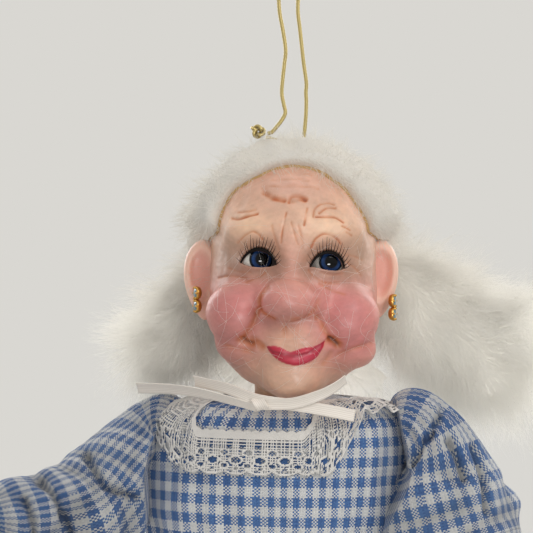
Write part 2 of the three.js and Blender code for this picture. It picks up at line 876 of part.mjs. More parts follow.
// Sleeve rings stand square to the sleeve's run, with gathers that shrink where it puffs
const sleeveRing = (middle, normal, radius, gather, lean, around) => {
  const n = normal.clone().normalize();
  const front = new THREE.Vector3(0, -1, lean);
  front.addScaledVector(n, -front.dot(n)).normalize();
  const side = new THREE.Vector3().crossVectors(n, front);
  const ring = [];
  for (let k = 0; k < around; k += 1) {
    const angle = (k / around) * 2 * Math.PI;
    const r = radius * (1 + gather * Math.cos(8 * angle));
    ring.push(
      middle
        .clone()
        .addScaledVector(front, r * Math.cos(angle))
        .addScaledVector(side, r * Math.sin(angle))
        .toArray(),
    );
  }
  return ring;
};
const sleeveWall = (stations, inset) =>
  stations.map(([middle, normal, radius, gather, lean]) =>
    sleeveRing(middle, normal, radius - inset, gather, lean, 24),
  );
const sleeveSolid = (stations) =>
  solid(shell(sleeveWall(stations, 0), sleeveWall(stations, clothThickness * 0.9)));
const sleeveFilled = (stations, grow) => solid(loft(sleeveWall(stations, -grow)));

const sleeves = [];
['left', 'right'].forEach((side) => {
  const shoulder = new THREE.Vector3(...shoulders[side]);
  const upper = new THREE.Vector3(...armRun[side].upper).normalize();
  const fore = new THREE.Vector3(...armRun[side].fore).normalize();
  const elbow = shoulder.clone().addScaledVector(upper, upperArmLength);
  const wire = armWire;

  const upperArm = jointedLimb(shoulderBall, elbowBall, upperArmLength, armThickness, wire);
  add(`upper_arm_${side}`, aimed(upperArm, shoulder, upper), finish.muslin, body);
  const upperWire = wireBar(shoulderBall * 0.35, -upperArmLength + elbowBall / 2 + socketGap, wire);
  add(`upper_arm_wire_${side}`, aimed(upperWire, shoulder, upper), finish.steel, body);
  const foreArm = endLimb(elbowBall, forearmLength, armThickness * 0.94, wristThickness, wire);
  add(`forearm_${side}`, aimed(foreArm, elbow, fore), finish.muslin, body);
  const foreWire = wireBar(elbowBall * 0.35, -forearmLength - wristIn, wire);
  add(`forearm_wire_${side}`, aimed(foreWire, elbow, fore), finish.steel, body);
  const hand = skinOf(handForm());
  if (side === 'right') {
    hand.rotateZ(Math.PI);
  }
  hand.translate(0, 0, -forearmLength - wireGap);
  add(`hand_${side}`, aimed(hand, elbow, fore), finish.clay, body);

  const outward = new THREE.Vector3(Math.sign(shoulder.x), 0, 0);
  const mitre = upper.clone().add(fore).normalize();
  const down = (from, run, distance) => from.clone().addScaledVector(run, distance);
  const half = sleevePuff / 2;
  const root = sleeveRoot / 2;
  const leaning = (stations) => stations.map((station) => [...station, gatherLean[side]]);
  const upperStations = leaning([
    [down(shoulder, outward, -3.2), outward, root, 0.05],
    [down(shoulder, upper, upperArmLength * 0.1), outward.clone().add(upper), root + 1.6, 0.05],
    [down(shoulder, upper, upperArmLength * 0.34), upper, (root + half) / 2 + 0.6, 0.04],
    [down(shoulder, upper, upperArmLength * 0.62), upper, half * 0.93, 0.03],
    [down(elbow, mitre, -restGap / 2 - 0.1), mitre, half, 0.02],
  ]);
  const lowerStations = leaning([
    [down(elbow, mitre, restGap / 2 + 0.1), mitre, half, 0.02],
    [down(elbow, fore, forearmLength * 0.3), fore, half * 0.68, 0.03],
    [down(elbow, fore, forearmLength * 0.62), fore, half * 0.52, 0.05],
    [down(elbow, fore, forearmLength * 0.82), fore, wristThickness / 2 + clothThickness + 0.8, 0.04],
    [down(elbow, fore, forearmLength * 0.96), fore, cuffDiameter / 2, 0.08],
  ]);
  sleeves.push(upperStations);
  const besideBody = (sleeve) =>
    biggest(cut(sleeve, bodiceOuter(restGap), solid(loft(skirtWall(-restGap))))).simplify(trimFineness);
  add(`upper_sleeve_${side}`, besideBody(sleeveSolid(upperStations)), finish.gingham, body);
  add(`lower_sleeve_${side}`, besideBody(sleeveSolid(lowerStations)), finish.gingham, body);
});

// Loose mohair behind the shoulders, lying on what it falls over
const placed = (form) => solid(skinOf(form).applyMatrix4(body.matrix));
const dressForms = [
  placed(bodiceOuter(restGap + 2.2)),
  ...sleeves.map((stations) => placed(sleeveFilled(stations, restGap))),
];
const headForms = [
  crownHair(restGap),
  skull(hairFits),
  jaw(restGap),
  ear('left', 1.2),
  ear('right', 1.2),
  neckRod(restGap),
];
const backHair = (grow) =>
  egg(
    [0, hairDepth * 0.49, hairTop - hairRise * 2.5],
    [backHairWidth + grow, lockThickness * 1.133 + grow, backHairLength + grow],
    14,
    10,
  );
add('hair_back', biggest(cut(backHair(0), ...dressForms, ...headForms)), finish.mohair);
const lock = (out, back, drop, width, thick, height) =>
  egg(
    [out * sideHairReach, back * lockThickness, hairTop - drop * hairRise],
    [width * sideHairReach, thick * lockThickness, height * hairRise],
    10,
    8,
  );
const sideHair = {
  left: join(
    lock(0.58, 1, 1.43, 0.458, 1, 1.286),
    lock(0.9, 1.2, 1.93, 0.792, 1.133, 1.571),
    lock(1.25, 1.267, 2.07, 0.583, 1, 1.286),
  ),
  right: join(lock(-0.52, 1, 1.643, 0.396, 0.933, 1), lock(-0.7, 1, 1.893, 0.458, 0.933, 0.857)),
};
['left', 'right'].forEach((side) => {
  const near = cut(sideHair[side], ...dressForms, ...headForms, backHair(2 * restGap));
  add(`hair_${side}`, biggest(near), finish.mohair);
});

// Legs
['left', 'right'].forEach((side) => {
  const hip = new THREE.Vector3(...hips[side]);
  const knee = new THREE.Vector3(hip.x, hip.y, kneeZ);
  const bore = legWire / 2 + wireGap;
  const straight = new THREE.Vector3(0, 0, -1);
  const thigh = jointedLimb(hipBall, kneeBall, thighLength, thighThickness, legWire);
  add(`thigh_${side}`, aimed(thigh, hip, straight), finish.muslin, body);
  const thighWire = wireBar(hipBall * 0.35, -thighLength + kneeBall / 2 + socketGap, legWire);
  add(`thigh_wire_${side}`, aimed(thighWire, hip, straight), finish.steel, body);
  const snug = thighThickness / 2 + restGap;
  const wide = bloomerWidth / 2;
  const bloomer = turned(
    [
      [snug, -thighLength * 0.24],
      [snug + 1.4, -thighLength * 0.235],
      [wide, -thighLength * 0.5],
      [wide * 0.97, -thighLength * 0.72],
      [snug + 0.9, -thighLength * 0.82],
      [wide * 0.92, -thighLength * 0.9],
      [wide * 0.92 - 0.9, -thighLength * 0.9],
      [snug, -thighLength * 0.82],
      [wide * 0.97 - 1, -thighLength * 0.7],
      [wide - 1, -thighLength * 0.5],
      [snug, -thighLength * 0.28],
    ],
    12,
  );
  add(`bloomer_${side}`, aimed(bloomer, hip, straight), finish.cotton, body);
  const shin = endLimb(kneeBall, shinLength, calfThickness, ankleThickness, legWire);
  add(`shin_${side}`, aimed(shin, knee, straight), finish.knit, body);
  const shoeTop = ankleZ - restGap;
  const shinWire = wireBar(kneeBall * 0.35, -shinLength - shoeHeight * 0.4, legWire);
  add(`shin_wire_${side}`, aimed(shinWire, knee, straight), finish.steel, body);
  // Shoe: a flat sole that rises over the toes to the ankle
  const outline = (share) => {
    const ring = [];
    for (let k = 0; k < 16; k += 1) {
      const angle = (k / 16) * 2 * Math.PI;
      const swell = 1 + 0.12 * Math.cos(angle);
      const wideAt = (shoeWidth / 2) * (1 - 0.42 * share) * swell;
      const longAt = (shoeLength / 2) * (1 - 0.6 * share ** 1.5);
      const back = 0.22 * shoeLength * (1 - share ** 1.2);
      ring.push([
        hip.x + wideAt * Math.sin(angle),
        -longAt * Math.cos(angle) - back,
        shoeTop - shoeHeight * (1 - share),
      ]);
    }
    return ring;
  };
  const shoe = solid(loft([0, 0.16, 0.4, 0.62, 0.82, 1].map(outline)));
  const wireHole = rod(
    [hip.x, 0, shoeTop + 1],
    [hip.x, 0, shoeTop - shoeHeight * 0.4 - wireGap],
    2 * bore,
    8,
  );
  add(`shoe_${side}`, cut(shoe, wireHole), finish.shoe, body);
});

export default doll;
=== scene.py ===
# %% [markdown]
# # A hanging doll, dressed around its CAD frame
# The CAD model already holds every piece at its real size and place, with the joints that move it.
# This lesson gives those pieces their looks: sculpted clay, mohair, gingham, lace, satin and gold cord.
# Loading comes first, because each later cell asks the frame where a piece belongs.

# %% Load the frame
import math
from functools import partial

import bpy
import numpy as np
from mathutils import Matrix, Vector
from mathutils.bvhtree import BVHTree


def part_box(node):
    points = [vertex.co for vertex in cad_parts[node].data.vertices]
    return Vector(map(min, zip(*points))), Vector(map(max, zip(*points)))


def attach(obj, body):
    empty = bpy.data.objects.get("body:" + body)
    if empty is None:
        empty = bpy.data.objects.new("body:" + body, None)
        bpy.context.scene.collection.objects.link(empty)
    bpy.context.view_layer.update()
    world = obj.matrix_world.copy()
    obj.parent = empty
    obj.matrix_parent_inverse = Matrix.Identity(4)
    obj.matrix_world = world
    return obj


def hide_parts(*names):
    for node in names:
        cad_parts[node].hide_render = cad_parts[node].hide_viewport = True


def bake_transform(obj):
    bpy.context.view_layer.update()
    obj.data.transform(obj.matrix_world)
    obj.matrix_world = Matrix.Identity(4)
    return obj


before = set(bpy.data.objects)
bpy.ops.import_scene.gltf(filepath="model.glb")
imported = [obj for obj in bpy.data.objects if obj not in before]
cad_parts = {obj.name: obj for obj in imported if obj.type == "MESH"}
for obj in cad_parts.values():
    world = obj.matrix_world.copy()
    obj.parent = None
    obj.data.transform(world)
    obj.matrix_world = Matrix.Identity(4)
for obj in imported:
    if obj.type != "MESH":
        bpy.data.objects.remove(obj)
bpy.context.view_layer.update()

MM = 0.001
SIDES = {"left": 1, "right": -1}
scene = bpy.context.scene
scene.view_settings.view_transform = "Standard"


def linked(name, data):
    """A new object in the scene."""
    made = bpy.data.objects.new(name, data)
    scene.collection.objects.link(made)
    return made


def metres(points):
    """Points in millimetres as plain lists in metres."""
    return (np.asarray(points, float) * MM).tolist()


# %% [markdown]
# ## Camera
# The photograph looks straight at the face from arm's length. One pixel spans a quarter of a millimetre
# at the face, so the lens follows from the distance. A helper turns a pixel of the photograph into the
# place on the face plane that it shows, for the marks that were modelled and painted by hand.

# %% Camera at the photograph's angle
PHOTO_SIDE = 533
PIXEL_MM = 0.25
FACE_Y = -20.0
VIEW_X, VIEW_Z = -6.9, -86.6
CAMERA_AWAY = 460.0
SENSOR_WIDTH = 36.0
HALF_SIDE = PHOTO_SIDE / 2

camera = linked("camera", bpy.data.cameras.new("camera"))
camera.data.sensor_width = SENSOR_WIDTH
camera.data.lens = SENSOR_WIDTH * CAMERA_AWAY / (PHOTO_SIDE * PIXEL_MM)
camera.data.clip_start = 0.01
camera.location = Vector((VIEW_X, FACE_Y - CAMERA_AWAY, VIEW_Z)) * MM
camera.rotation_euler = (math.pi / 2, 0, 0)
scene.camera = camera


def at_depth(px, py, y):
    """The place that a pixel of the photograph shows at a given depth, in millimetres."""
    near = (CAMERA_AWAY + y - FACE_Y) / CAMERA_AWAY
    return VIEW_X + (px - HALF_SIDE) * PIXEL_MM * near, y, VIEW_Z - (py - HALF_SIDE) * PIXEL_MM * near


def spot(px, py):
    """Where a pixel lies on the face plane: x and z in millimetres."""
    return at_depth(px, py, FACE_Y)[::2]


def spots(*pixels):
    return np.array([spot(*pixel) for pixel in pixels])


def pixel_of(points):
    """The pixel of the photograph that shows each point."""
    near = PIXEL_MM * (CAMERA_AWAY + points[..., 1] - FACE_Y) / CAMERA_AWAY
    x, z = points[..., 0] - VIEW_X, points[..., 2] - VIEW_Z
    return np.stack([HALF_SIDE + x / near, HALF_SIDE - z / near], -1)


print("lens in mm:", round(camera.data.lens, 1))

# %% [markdown]
# ## Node helpers
# Every material and every Geometry Nodes tree below is built in code. One helper makes a node, sets its
# fields and joins or fills its inputs. Colours are written as they look on screen and made linear here.
# A finish that only goes between two tones is one call; the others are built up in their own cells.

# %% Helpers for node trees


def linear(tones):
    """Screen values of 0 to 1 as a shader's linear ones."""
    tones = np.asarray(tones, float)
    return np.where(tones <= 0.04045, tones / 12.92, ((tones + 0.055) / 1.055) ** 2.4)


def paint(code):
    """A screen colour such as '#c8a04a' as the linear red, green and blue of a shader."""
    return tuple(linear([int(code[i : i + 2], 16) / 255 for i in (1, 3, 5)]))


def node(tree, kind, inputs=None, **fields):
    """One node with its fields set and its inputs joined or filled; '#c8a04a' fills in a colour."""
    made = tree.nodes.new(kind)
    for key, value in fields.items():
        setattr(made, key, value)
    for key, value in (inputs or {}).items():
        if isinstance(value, bpy.types.NodeSocket):
            tree.links.new(value, made.inputs[key])
        else:
            coded = isinstance(value, str) and value.startswith("#")
            made.inputs[key].default_value = (*paint(value), 1.0) if coded else value
    return made


def sums(tree, operation, first, second=0.0):
    """One Math node; returns its output."""
    return node(tree, "ShaderNodeMath", {0: first, 1: second}, operation=operation).outputs[0]


def between(tree, share, low, high, blend="MIX"):
    """A colour mixed from two, by a share of 0 to 1."""
    inputs = {"Factor": share, 6: low, 7: high}
    return node(tree, "ShaderNodeMix", inputs, data_type="RGBA", blend_type=blend).outputs[2]


def axes(tree, place):
    return node(tree, "ShaderNodeSeparateXYZ", {0: place}).outputs


def object_place(tree):
    return node(tree, "ShaderNodeTexCoord").outputs["Object"]


def uv_place(tree):
    return node(tree, "ShaderNodeUVMap", uv_map="UVMap").outputs[0]


# %% Helpers for groups and finishes


def new_group(name, inputs, outputs, family="Shader"):
    """A node group: the group, what its input node gives and what its output node takes."""
    group = bpy.data.node_groups.new(name, family + "NodeTree")
    for title, kind, *value in inputs:
        socket = group.interface.new_socket(title, in_out="INPUT", socket_type="NodeSocket" + kind)
        if value:
            socket.default_value = value[0]
    for title, kind in outputs:
        group.interface.new_socket(title, in_out="OUTPUT", socket_type="NodeSocket" + kind)
    print("node group:", name)
    return group, group.nodes.new("NodeGroupInput").outputs, group.nodes.new("NodeGroupOutput").inputs


def geometry_tree(name, *measures):
    """A Geometry Nodes tree with its measures between the Geometry and Material inputs."""
    inputs = [("Geometry", "Geometry"), *measures, ("Material", "Material")]
    return new_group(name, inputs, [("Geometry", "Geometry")], "Geometry")


def new_finish(name, roughness, **sockets):
    """A material with its Principled shader, and the plain sockets set."""
    material = bpy.data.materials.new(name)
    material.use_nodes = True
    surface = material.node_tree.nodes["Principled BSDF"]
    for title, value in {"Roughness": roughness, **sockets}.items():
        surface.inputs[title.replace("_", " ")].default_value = value
    print("finish:", name)
    return material, material.node_tree, surface


def coat(surface, colour, height=None, relief=None):
    """Joins a colour to a shader, and a bump where a relief of strength and distance is given."""
    tree = surface.id_data
    tree.links.new(colour, surface.inputs["Base Color"])
    if relief:
        bump = {"Height": height, "Strength": relief[0], "Distance": relief[1]}
        tree.links.new(node(tree, "ShaderNodeBump", bump).outputs["Normal"], surface.inputs["Normal"])


# %% [markdown]
# ## Light, floor and backdrop
# The photograph was taken in soft daylight against a pale wall. A pale world seen by the camera stands
# for the wall, and large lamps give the soft light: two behind the doll shine through the loose hair,
# and a small one makes the glint in the eyes. The floor lies just under the shoes.

# %% World and lamps
WALL, DAYLIGHT, AMBIENT = "#d9d7d2", "#fbfaf8", 0.46

world = bpy.data.worlds.new("studio")
world.use_nodes = True
scene.world = world
sky = world.node_tree
sky.nodes.clear()
rays = node(sky, "ShaderNodeLightPath").outputs
seen = sums(sky, "MAXIMUM", rays["Is Camera Ray"], rays["Is Glossy Ray"])
seen = sums(sky, "MAXIMUM", seen, rays["Is Transmission Ray"])
soft_light = node(sky, "ShaderNodeBackground", {"Color": DAYLIGHT, "Strength": AMBIENT})
wall_light = node(sky, "ShaderNodeBackground", {"Color": WALL, "Strength": 1.0})
blend_light = node(sky, "ShaderNodeMixShader", {0: seen, 1: soft_light.outputs[0], 2: wall_light.outputs[0]})
node(sky, "ShaderNodeOutputWorld", {"Surface": blend_light.outputs[0]})


def lamp(name, place, target, size, watts, colour="#ffffff"):
    data = bpy.data.lights.new(name, "AREA")
    data.shape, data.size, data.size_y = "RECTANGLE", size[0] * MM, size[1] * MM
    data.energy = watts
    data.color = paint(colour)
    made = linked(name, data)
    made.location = Vector(place) * MM
    made.rotation_euler = (Vector(target) - Vector(place)).to_track_quat("-Z", "Y").to_euler()
    return made


FACE = (0, -20, -92)
LOOSE_HAIR = (10, 16, -104)
lamp("window_lamp", (380, -580, 340), FACE, (420, 420), 2.3, "#fffdf9")
lamp("room_lamp", (-300, -620, 200), FACE, (520, 520), 0.32, "#fbfcff")
lamp("ceiling_lamp", (-40, -60, 560), FACE, (520, 520), 0.5, "#fffdfa")
lamp("back_lamp_right", (330, 420, 120), LOOSE_HAIR, (420, 420), 1.7)
lamp("back_lamp_left", (-330, 420, 120), LOOSE_HAIR, (420, 420), 1.6)
glint_lamp = lamp("glint_lamp", (118, -465, -232), FACE, (110, 44), 0.8)
glint_lamp.visible_diffuse = False
print("lamps:", len(bpy.data.lights))

# %% [markdown]
# ## Mesh helpers
# Most forms here are grids of points: rings along a limb, rows down a sheet. The helpers make the faces,
# the UV map in millimetres that the cloth patterns read, and thin tubes for cords, lashes and fibres.

# %% Helpers for meshes


def circle(count):
    """That many even angles round a full turn."""
    return np.arange(count) * 2 * math.pi / count


def together(*parts):
    """Coordinates of any shapes that fit each other, as one array of points."""
    return np.stack(np.broadcast_arrays(*parts), -1)


def ovals(wide, deep, height, angle):
    """Points round level ovals, with angle 0 at the front."""
    return together(wide * np.sin(angle), -deep * np.cos(angle), height)


def hoop(one, other, angle):
    """Points round a circle that two directions span."""
    return one[..., None, :] * np.cos(angle)[:, None] + other[..., None, :] * np.sin(angle)[:, None]


def travelled(path):
    """How far along a path each of its points lies."""
    return np.concatenate([[0], np.cumsum(np.linalg.norm(np.diff(path, axis=0), axis=1))])


def unit(vectors):
    vectors = np.asarray(vectors, float)
    return vectors / np.maximum(np.linalg.norm(vectors, axis=-1, keepdims=True), 1e-9)


def grid_faces(rows, columns, closed):
    across = columns if closed else columns - 1
    i, k = np.meshgrid(np.arange(rows - 1), np.arange(across), indexing="ij")
    step = (k + 1) % columns
    quads = [i * columns + k, i * columns + step, (i + 1) * columns + step, (i + 1) * columns + k]
    return np.stack(quads, -1).reshape(-1, 4)


def grid_uv(uv, reverse=False):
    """UV of each face corner, from a grid with one more column than points where it closes."""
    i, k = np.meshgrid(np.arange(uv.shape[0] - 1), np.arange(uv.shape[1] - 1), indexing="ij")
    corners = np.stack([uv[i, k], uv[i, k + 1], uv[i + 1, k + 1], uv[i + 1, k]], 2)
    return (corners[:, :, ::-1] if reverse else corners).reshape(-1, 2)


# %% Helpers for pieces


def piece(name, points, faces, material, uv=None, smooth=True):
    """A mesh object from points in millimetres; uv is one pair for each face corner."""
    mesh = bpy.data.meshes.new(name)
    faces = [face.tolist() if hasattr(face, "tolist") else list(face) for face in faces]
    mesh.from_pydata(metres(np.reshape(points, (-1, 3))), [], faces)
    if uv is not None:
        layer = mesh.uv_layers.new(name="UVMap")
        layer.data.foreach_set("uv", np.asarray(uv, np.float32).ravel())
    if smooth:
        mesh.shade_smooth()
    mesh.materials.append(material)
    return linked(name, mesh)


def fitted(made, body, solid=None):
    """Hangs a piece on one body; where two are given, it only fixes the piece's place. Hides the CAD solid
    that it stands for.
    """
    if isinstance(body, str):
        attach(made, body)
    else:
        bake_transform(made)
    if solid:
        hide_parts(solid)
    print(made.name, "points:", len(made.data.vertices))
    return made


def solidify(made, thickness, offset=0.0):
    wall = made.modifiers.new("thickness", "SOLIDIFY")
    wall.thickness, wall.offset = thickness * MM, offset


# %% Helpers for closed forms and tubes


def with_hubs(values):
    """Values of a grid of rings and, after them, of the hub at each end."""
    return np.vstack([values.reshape(-1, 3), values[0].mean(0), values[-1].mean(0)])


def closed_grid(rings):
    """Points and faces of rings of equal length, with a hub that closes each end; faces look outwards."""
    rings = np.asarray(rings, float)
    rows, columns = rings.shape[:2]
    p, quads = with_hubs(rings), grid_faces(rows, columns, True)
    k = np.arange(columns)
    step, base, hub = (k + 1) % columns, (rows - 1) * columns, rows * columns
    first = np.stack([step, k, np.full(columns, hub)], 1)
    last = np.stack([base + k, base + step, np.full(columns, hub + 1)], 1)
    a, b, c, d = (p[quads[:, corner]] for corner in range(4))
    if (a * np.cross(b, c)).sum() + (a * np.cross(c, d)).sum() < 0:
        quads, first, last = quads[:, ::-1], first[:, ::-1], last[:, ::-1]
    return p, [*quads.tolist(), *first.tolist(), *last.tolist()]


OFF_AXIS = np.array([0.31, 0.52, 0.79])


def tubes(paths, radii, sides):
    """Thin closed tubes along paths of equal length: points and faces. radii is one for each path point."""
    paths = np.asarray(paths, float)
    count, steps = paths.shape[:2]
    run = unit(np.gradient(paths, axis=1))
    aside = unit(np.cross(run, OFF_AXIS))
    spread = hoop(aside, np.cross(run, aside), circle(sides))
    points = paths[:, :, None] + spread * np.asarray(radii).reshape(1, -1, 1, 1)
    start, rim = (np.arange(count) * steps * sides)[:, None], np.arange(sides)
    walls = (grid_faces(steps, sides, True)[None] + start[..., None]).reshape(-1, 4)
    caps = np.stack([start + rim[::-1], start + (steps - 1) * sides + rim], 1).reshape(-1, sides)
    return points.reshape(-1, 3), [*walls.tolist(), *caps.tolist()]


def joined(*forms):
    """Several forms of points and faces as one."""
    points, faces, base = [], [], 0
    for form_points, form_faces in forms:
        points.append(np.asarray(form_points, float).reshape(-1, 3))
        faces += [[i + base for i in face] for face in form_faces]
        base += len(points[-1])
    return np.vstack(points), faces


# %% Helpers for smooth curves and fields


def smooth_rows(table, places):
    """Rows of a table at fractional places, on a smooth curve through its rows."""
    table = np.asarray(table, float)
    places = np.clip(np.asarray(places, float), 0, len(table) - 1)
    low = np.minimum(places.astype(int), len(table) - 2)
    t = (places - low)[:, None]
    before, after = table[np.maximum(low - 1, 0)], table[np.minimum(low + 2, len(table) - 1)]
    a, b = table[low], table[low + 1]
    ta, tb = (b - before) / 2, (after - a) / 2
    t2, t3 = t * t, t * t * t
    return (2 * t3 - 3 * t2 + 1) * a + (t3 - 2 * t2 + t) * ta + (3 * t2 - 2 * t3) * b + (t3 - t2) * tb


def resampled(table, count):
    """That many rows, evenly along the smooth curve through a table."""
    return smooth_rows(table, np.linspace(0, len(table) - 1, count))


def ripple(points, wave, seed, count=14):
    """A smooth random field of about -1 to 1 whose waves are that many millimetres long."""
    draw = np.random.default_rng(seed)
    ways = unit(draw.normal(size=(count, 3))) * draw.uniform(0.6, 1.6, (count, 1)) * 2 * math.pi / wave
    phase = draw.uniform(0, 2 * math.pi, count)
    return np.sin(np.asarray(points) @ ways.T + phase).sum(-1) / math.sqrt(count)


def swirl(points, wave, seed):
    """Three ripples as a field of directions."""
    return together(*(ripple(points, wave, seed + axis) for axis in range(3)))


def ease(low, high, x):
    """From 0 at low to 1 at high, with soft ends."""
    t = np.clip((np.asarray(x, float) - low) / (high - low), 0, 1)
    return t * t * (3 - 2 * t)


def bell(x, width):
    return np.exp(-((x / width) ** 2))


# %% The floor under the doll
FLOOR_Z, FLOOR_RADIUS, FLOOR_SIDES = -334.0, 1100.0, 96
floor_finish, tree, surface = new_finish("pale_floor", 0.8)
grain = node(tree, "ShaderNodeTexNoise", {"Vector": object_place(tree), "Scale": 9.0})
coat(surface, between(tree, grain.outputs["Fac"], "#dfddd9", "#e8e6e2"))
ring = circle(FLOOR_SIDES)
disc = together(FLOOR_RADIUS * np.sin(ring), FLOOR_RADIUS * np.cos(ring), FLOOR_Z)
floor = piece("floor", disc, [list(range(FLOOR_SIDES))[::-1]], floor_finish, smooth=False)

# %% [markdown]
# ## Shared surface effects
# Skin, wool, muslin and cloth all vary a little from place to place. One group gives that mottling at two
# sizes. A second group is the gingham: warp and weft threads that are blue or white by stripes, and pass
# over each other one by one, so that crossing stripes look half blue, as in the real weave.

# %% Mottle
mottle, given, out = new_group(
    "mottle",
    [("Place", "Vector"), ("Size", "Float", 2.0), ("Fine Size", "Float", 0.4)],
    [("Value", "Float"), ("Fine", "Float")],
)
for title, size, detail in (("Value", "Size", 3.0), ("Fine", "Fine Size", 2.0)):
    scale = sums(mottle, "DIVIDE", 1 / MM, given[size])
    noise = node(mottle, "ShaderNodeTexNoise", {"Vector": given["Place"], "Scale": scale, "Detail": detail})
    mottle.links.new(noise.outputs["Fac"], out[title])

# %% Gingham weave
weave, given, out = new_group(
    "gingham_weave",
    [
        ("Place", "Vector"), ("Check Width", "Float", 3.36), ("Check Height", "Float", 5.04),
        ("Thread", "Float", 0.42),
    ],
    [("Blue", "Float"), ("Tone", "Float"), ("Height", "Float")],
)
calc = partial(sums, weave)
part = axes(weave, given["Place"])
thread = [calc("DIVIDE", part[axis], given["Thread"]) for axis in (0, 1)]
number = [calc("FLOOR", place) for place in thread]
stripe = []
for count, size in zip(number, ("Check Width", "Check Height")):
    along = calc("DIVIDE", calc("MULTIPLY", count, given["Thread"]), given[size])
    stripe.append(calc("LESS_THAN", calc("FRACT", along), 0.5))
over = calc("GREATER_THAN", calc("FLOORED_MODULO", calc("ADD", *number), 2.0), 0.5)
round_up = [calc("SINE", calc("MULTIPLY", calc("FRACT", place), math.pi)) for place in thread]
slub = [node(weave, "ShaderNodeTexWhiteNoise", {"W": n}, noise_dimensions="1D").outputs[0] for n in number]
for title, (warp, weft) in {"Blue": stripe, "Height": round_up, "Tone": slub}.items():
    chosen = node(weave, "ShaderNodeMix", {"Factor": over, 2: weft, 3: warp}).outputs[0]
    weave.links.new(chosen, out[title])


# %% Mottled finishes


def mottled(tree, size, fine_size, place=None):
    """The mottle group placed in a material, on Object coordinates unless a place is given."""
    inputs = {"Place": place or object_place(tree), "Size": size, "Fine Size": fine_size}
    return node(tree, "ShaderNodeGroup", inputs, node_tree=mottle).outputs


def two_toned(name, roughness, sizes, by, low, high, relief=None, **sockets):
    """A finish whose colour goes between two tones by the mottle's broad Value or its Fine spots."""
    material, tree, surface = new_finish(name, roughness, **sockets)
    spotted = mottled(tree, *sizes)
    coat(surface, between(tree, spotted[by], low, high), spotted["Fine"], relief)
    return material


# %% [markdown]
# ## Gold cord
# A limp cord, doubled into a loop, carries the doll. Its route is the one in the CAD source: out of the
# knot, through the wire eye in the crown, up, over the hook and down again. The real cord is a braid of
# metallic yarn, so the tube gets three plies that wind along it, as geometry.

# %% The cord's route
CORD_DIAMETER = 1.1
HAIR_TOP = -53.0
CORD_ROUTE = np.array([
    (-7.0, 2.6, 0.3), (-5.2, 2.9, -0.2), (-2.6, 2.6, -1.1), (-0.8, 2.3, -1.55), (0.6, 2.1, -1.7),
    (2.1, 1.9, -1.25), (2.9, 1.7, 0.1), (3.1, 1.4, 2.4), (3.4, 1.2, 6), (3.5, 1.0, 9.5), (3.4, 0.9, 12),
    (3.5, 0.8, 14.5), (2.8, 0.6, 19.5), (2.3, 0.5, 24), (1.8, 0.4, 28.5), (1.3, 0.3, 33), (1.5, 0.2, 38),
    (2.2, 0.1, 43), (2.8, 0, 48.8), (2.1, 0, 51.7), (0, 0, 53.55), (-2.1, 0, 51.7), (-2.8, 0, 48.8),
    (-3.3, 0.1, 43), (-3.7, 0.2, 38), (-3.5, 0.3, 33), (-2.6, 0.4, 28), (-1.9, 0.5, 23), (-2.2, 0.6, 19.5),
    (-2.6, 0.8, 16), (-2.9, 0.9, 11.8), (-2.4, 1.0, 8.8), (-2.0, 1.1, 6.6), (-2.9, 1.3, 4.7),
    (-4.3, 1.6, 2.9), (-5.5, 1.8, 1.6), (-6.6, 1.9, 1.25),
])


def even_path(points, step):
    """A smooth path through points, with its own points that far apart, and its length."""
    fine_path = resampled(points, len(points) * 24)
    gone = travelled(fine_path)
    at = np.linspace(0, gone[-1], max(3, round(gone[-1] / step)))
    return np.stack([np.interp(at, gone, fine_path[:, axis]) for axis in range(3)], 1), gone[-1]


cord_path, cord_length = even_path(CORD_ROUTE + (0, 0, HAIR_TOP), 0.17)
print("cord length in mm:", round(cord_length, 1))

# %% Gold finish and the plied tube
gold_cord, tree, surface = new_finish("gold_cord", 0.36, Metallic=0.75)
wire = mottled(tree, 0.9, 0.16)
yarn = between(tree, wire["Fine"], "#7d6c3c", "#d6c48c")
coat(surface, between(tree, wire["Value"], yarn, "#b7a56a"), wire["Fine"], (0.5, 0.0001))


def plied(path, diameter, sides=12, plies=3, lay=2.6):
    """A cord whose round is cut by plies that make one turn in each `lay` millimetres."""
    run = unit(np.gradient(path, axis=0))
    aside = np.zeros_like(path)
    aside[0] = unit(np.cross(run[0], OFF_AXIS))
    for i in range(1, len(path)):
        carried = aside[i - 1] - run[i] * (aside[i - 1] @ run[i])
        aside[i] = carried / np.linalg.norm(carried)
    angle = circle(sides)
    wave = np.abs(np.cos((angle[None] + travelled(path)[:, None] * 2 * math.pi / lay) * plies / 2))
    radius = diameter / 2 * (0.8 + 0.2 * wave ** 0.8)
    return closed_grid(path[:, None] + radius[..., None] * hoop(aside, np.cross(run, aside), angle))


cord = piece("gold_hanging_cord", *plied(cord_path, CORD_DIAMETER), gold_cord)

# %% The knot with its cut tag
KNOT_MIDDLE, KNOT_RADIUS = np.array([-9.0, 2.0, HAIR_TOP + 1.75]), 1.05
TAG_ROUTE = np.array([(-9.3, 1.8, 2.0), (-10.2, 1.4, 2.5), (-10.9, 1.1, 2.7)])
turns = np.linspace(0, 2 * math.pi, 120, endpoint=False)
swell = 1.0 + 0.42 * np.cos(3 * turns)
knot_path = together(swell * np.cos(2 * turns), 0.62 * np.sin(3 * turns), swell * np.sin(2 * turns))
knot_path = np.vstack([knot_path, knot_path[:1]]) * KNOT_RADIUS + KNOT_MIDDLE
tag_path, _ = even_path(TAG_ROUTE + (0, 0, HAIR_TOP), 0.12)
knot_form = joined(plied(knot_path, 0.98, 10, 3, 2.2), plied(tag_path, 0.95, 10))
knot = piece("gold_cord_knot", *knot_form, gold_cord)
fitted(cord, "head", "hanging_cord")
fitted(knot, "head", "cord_knot")

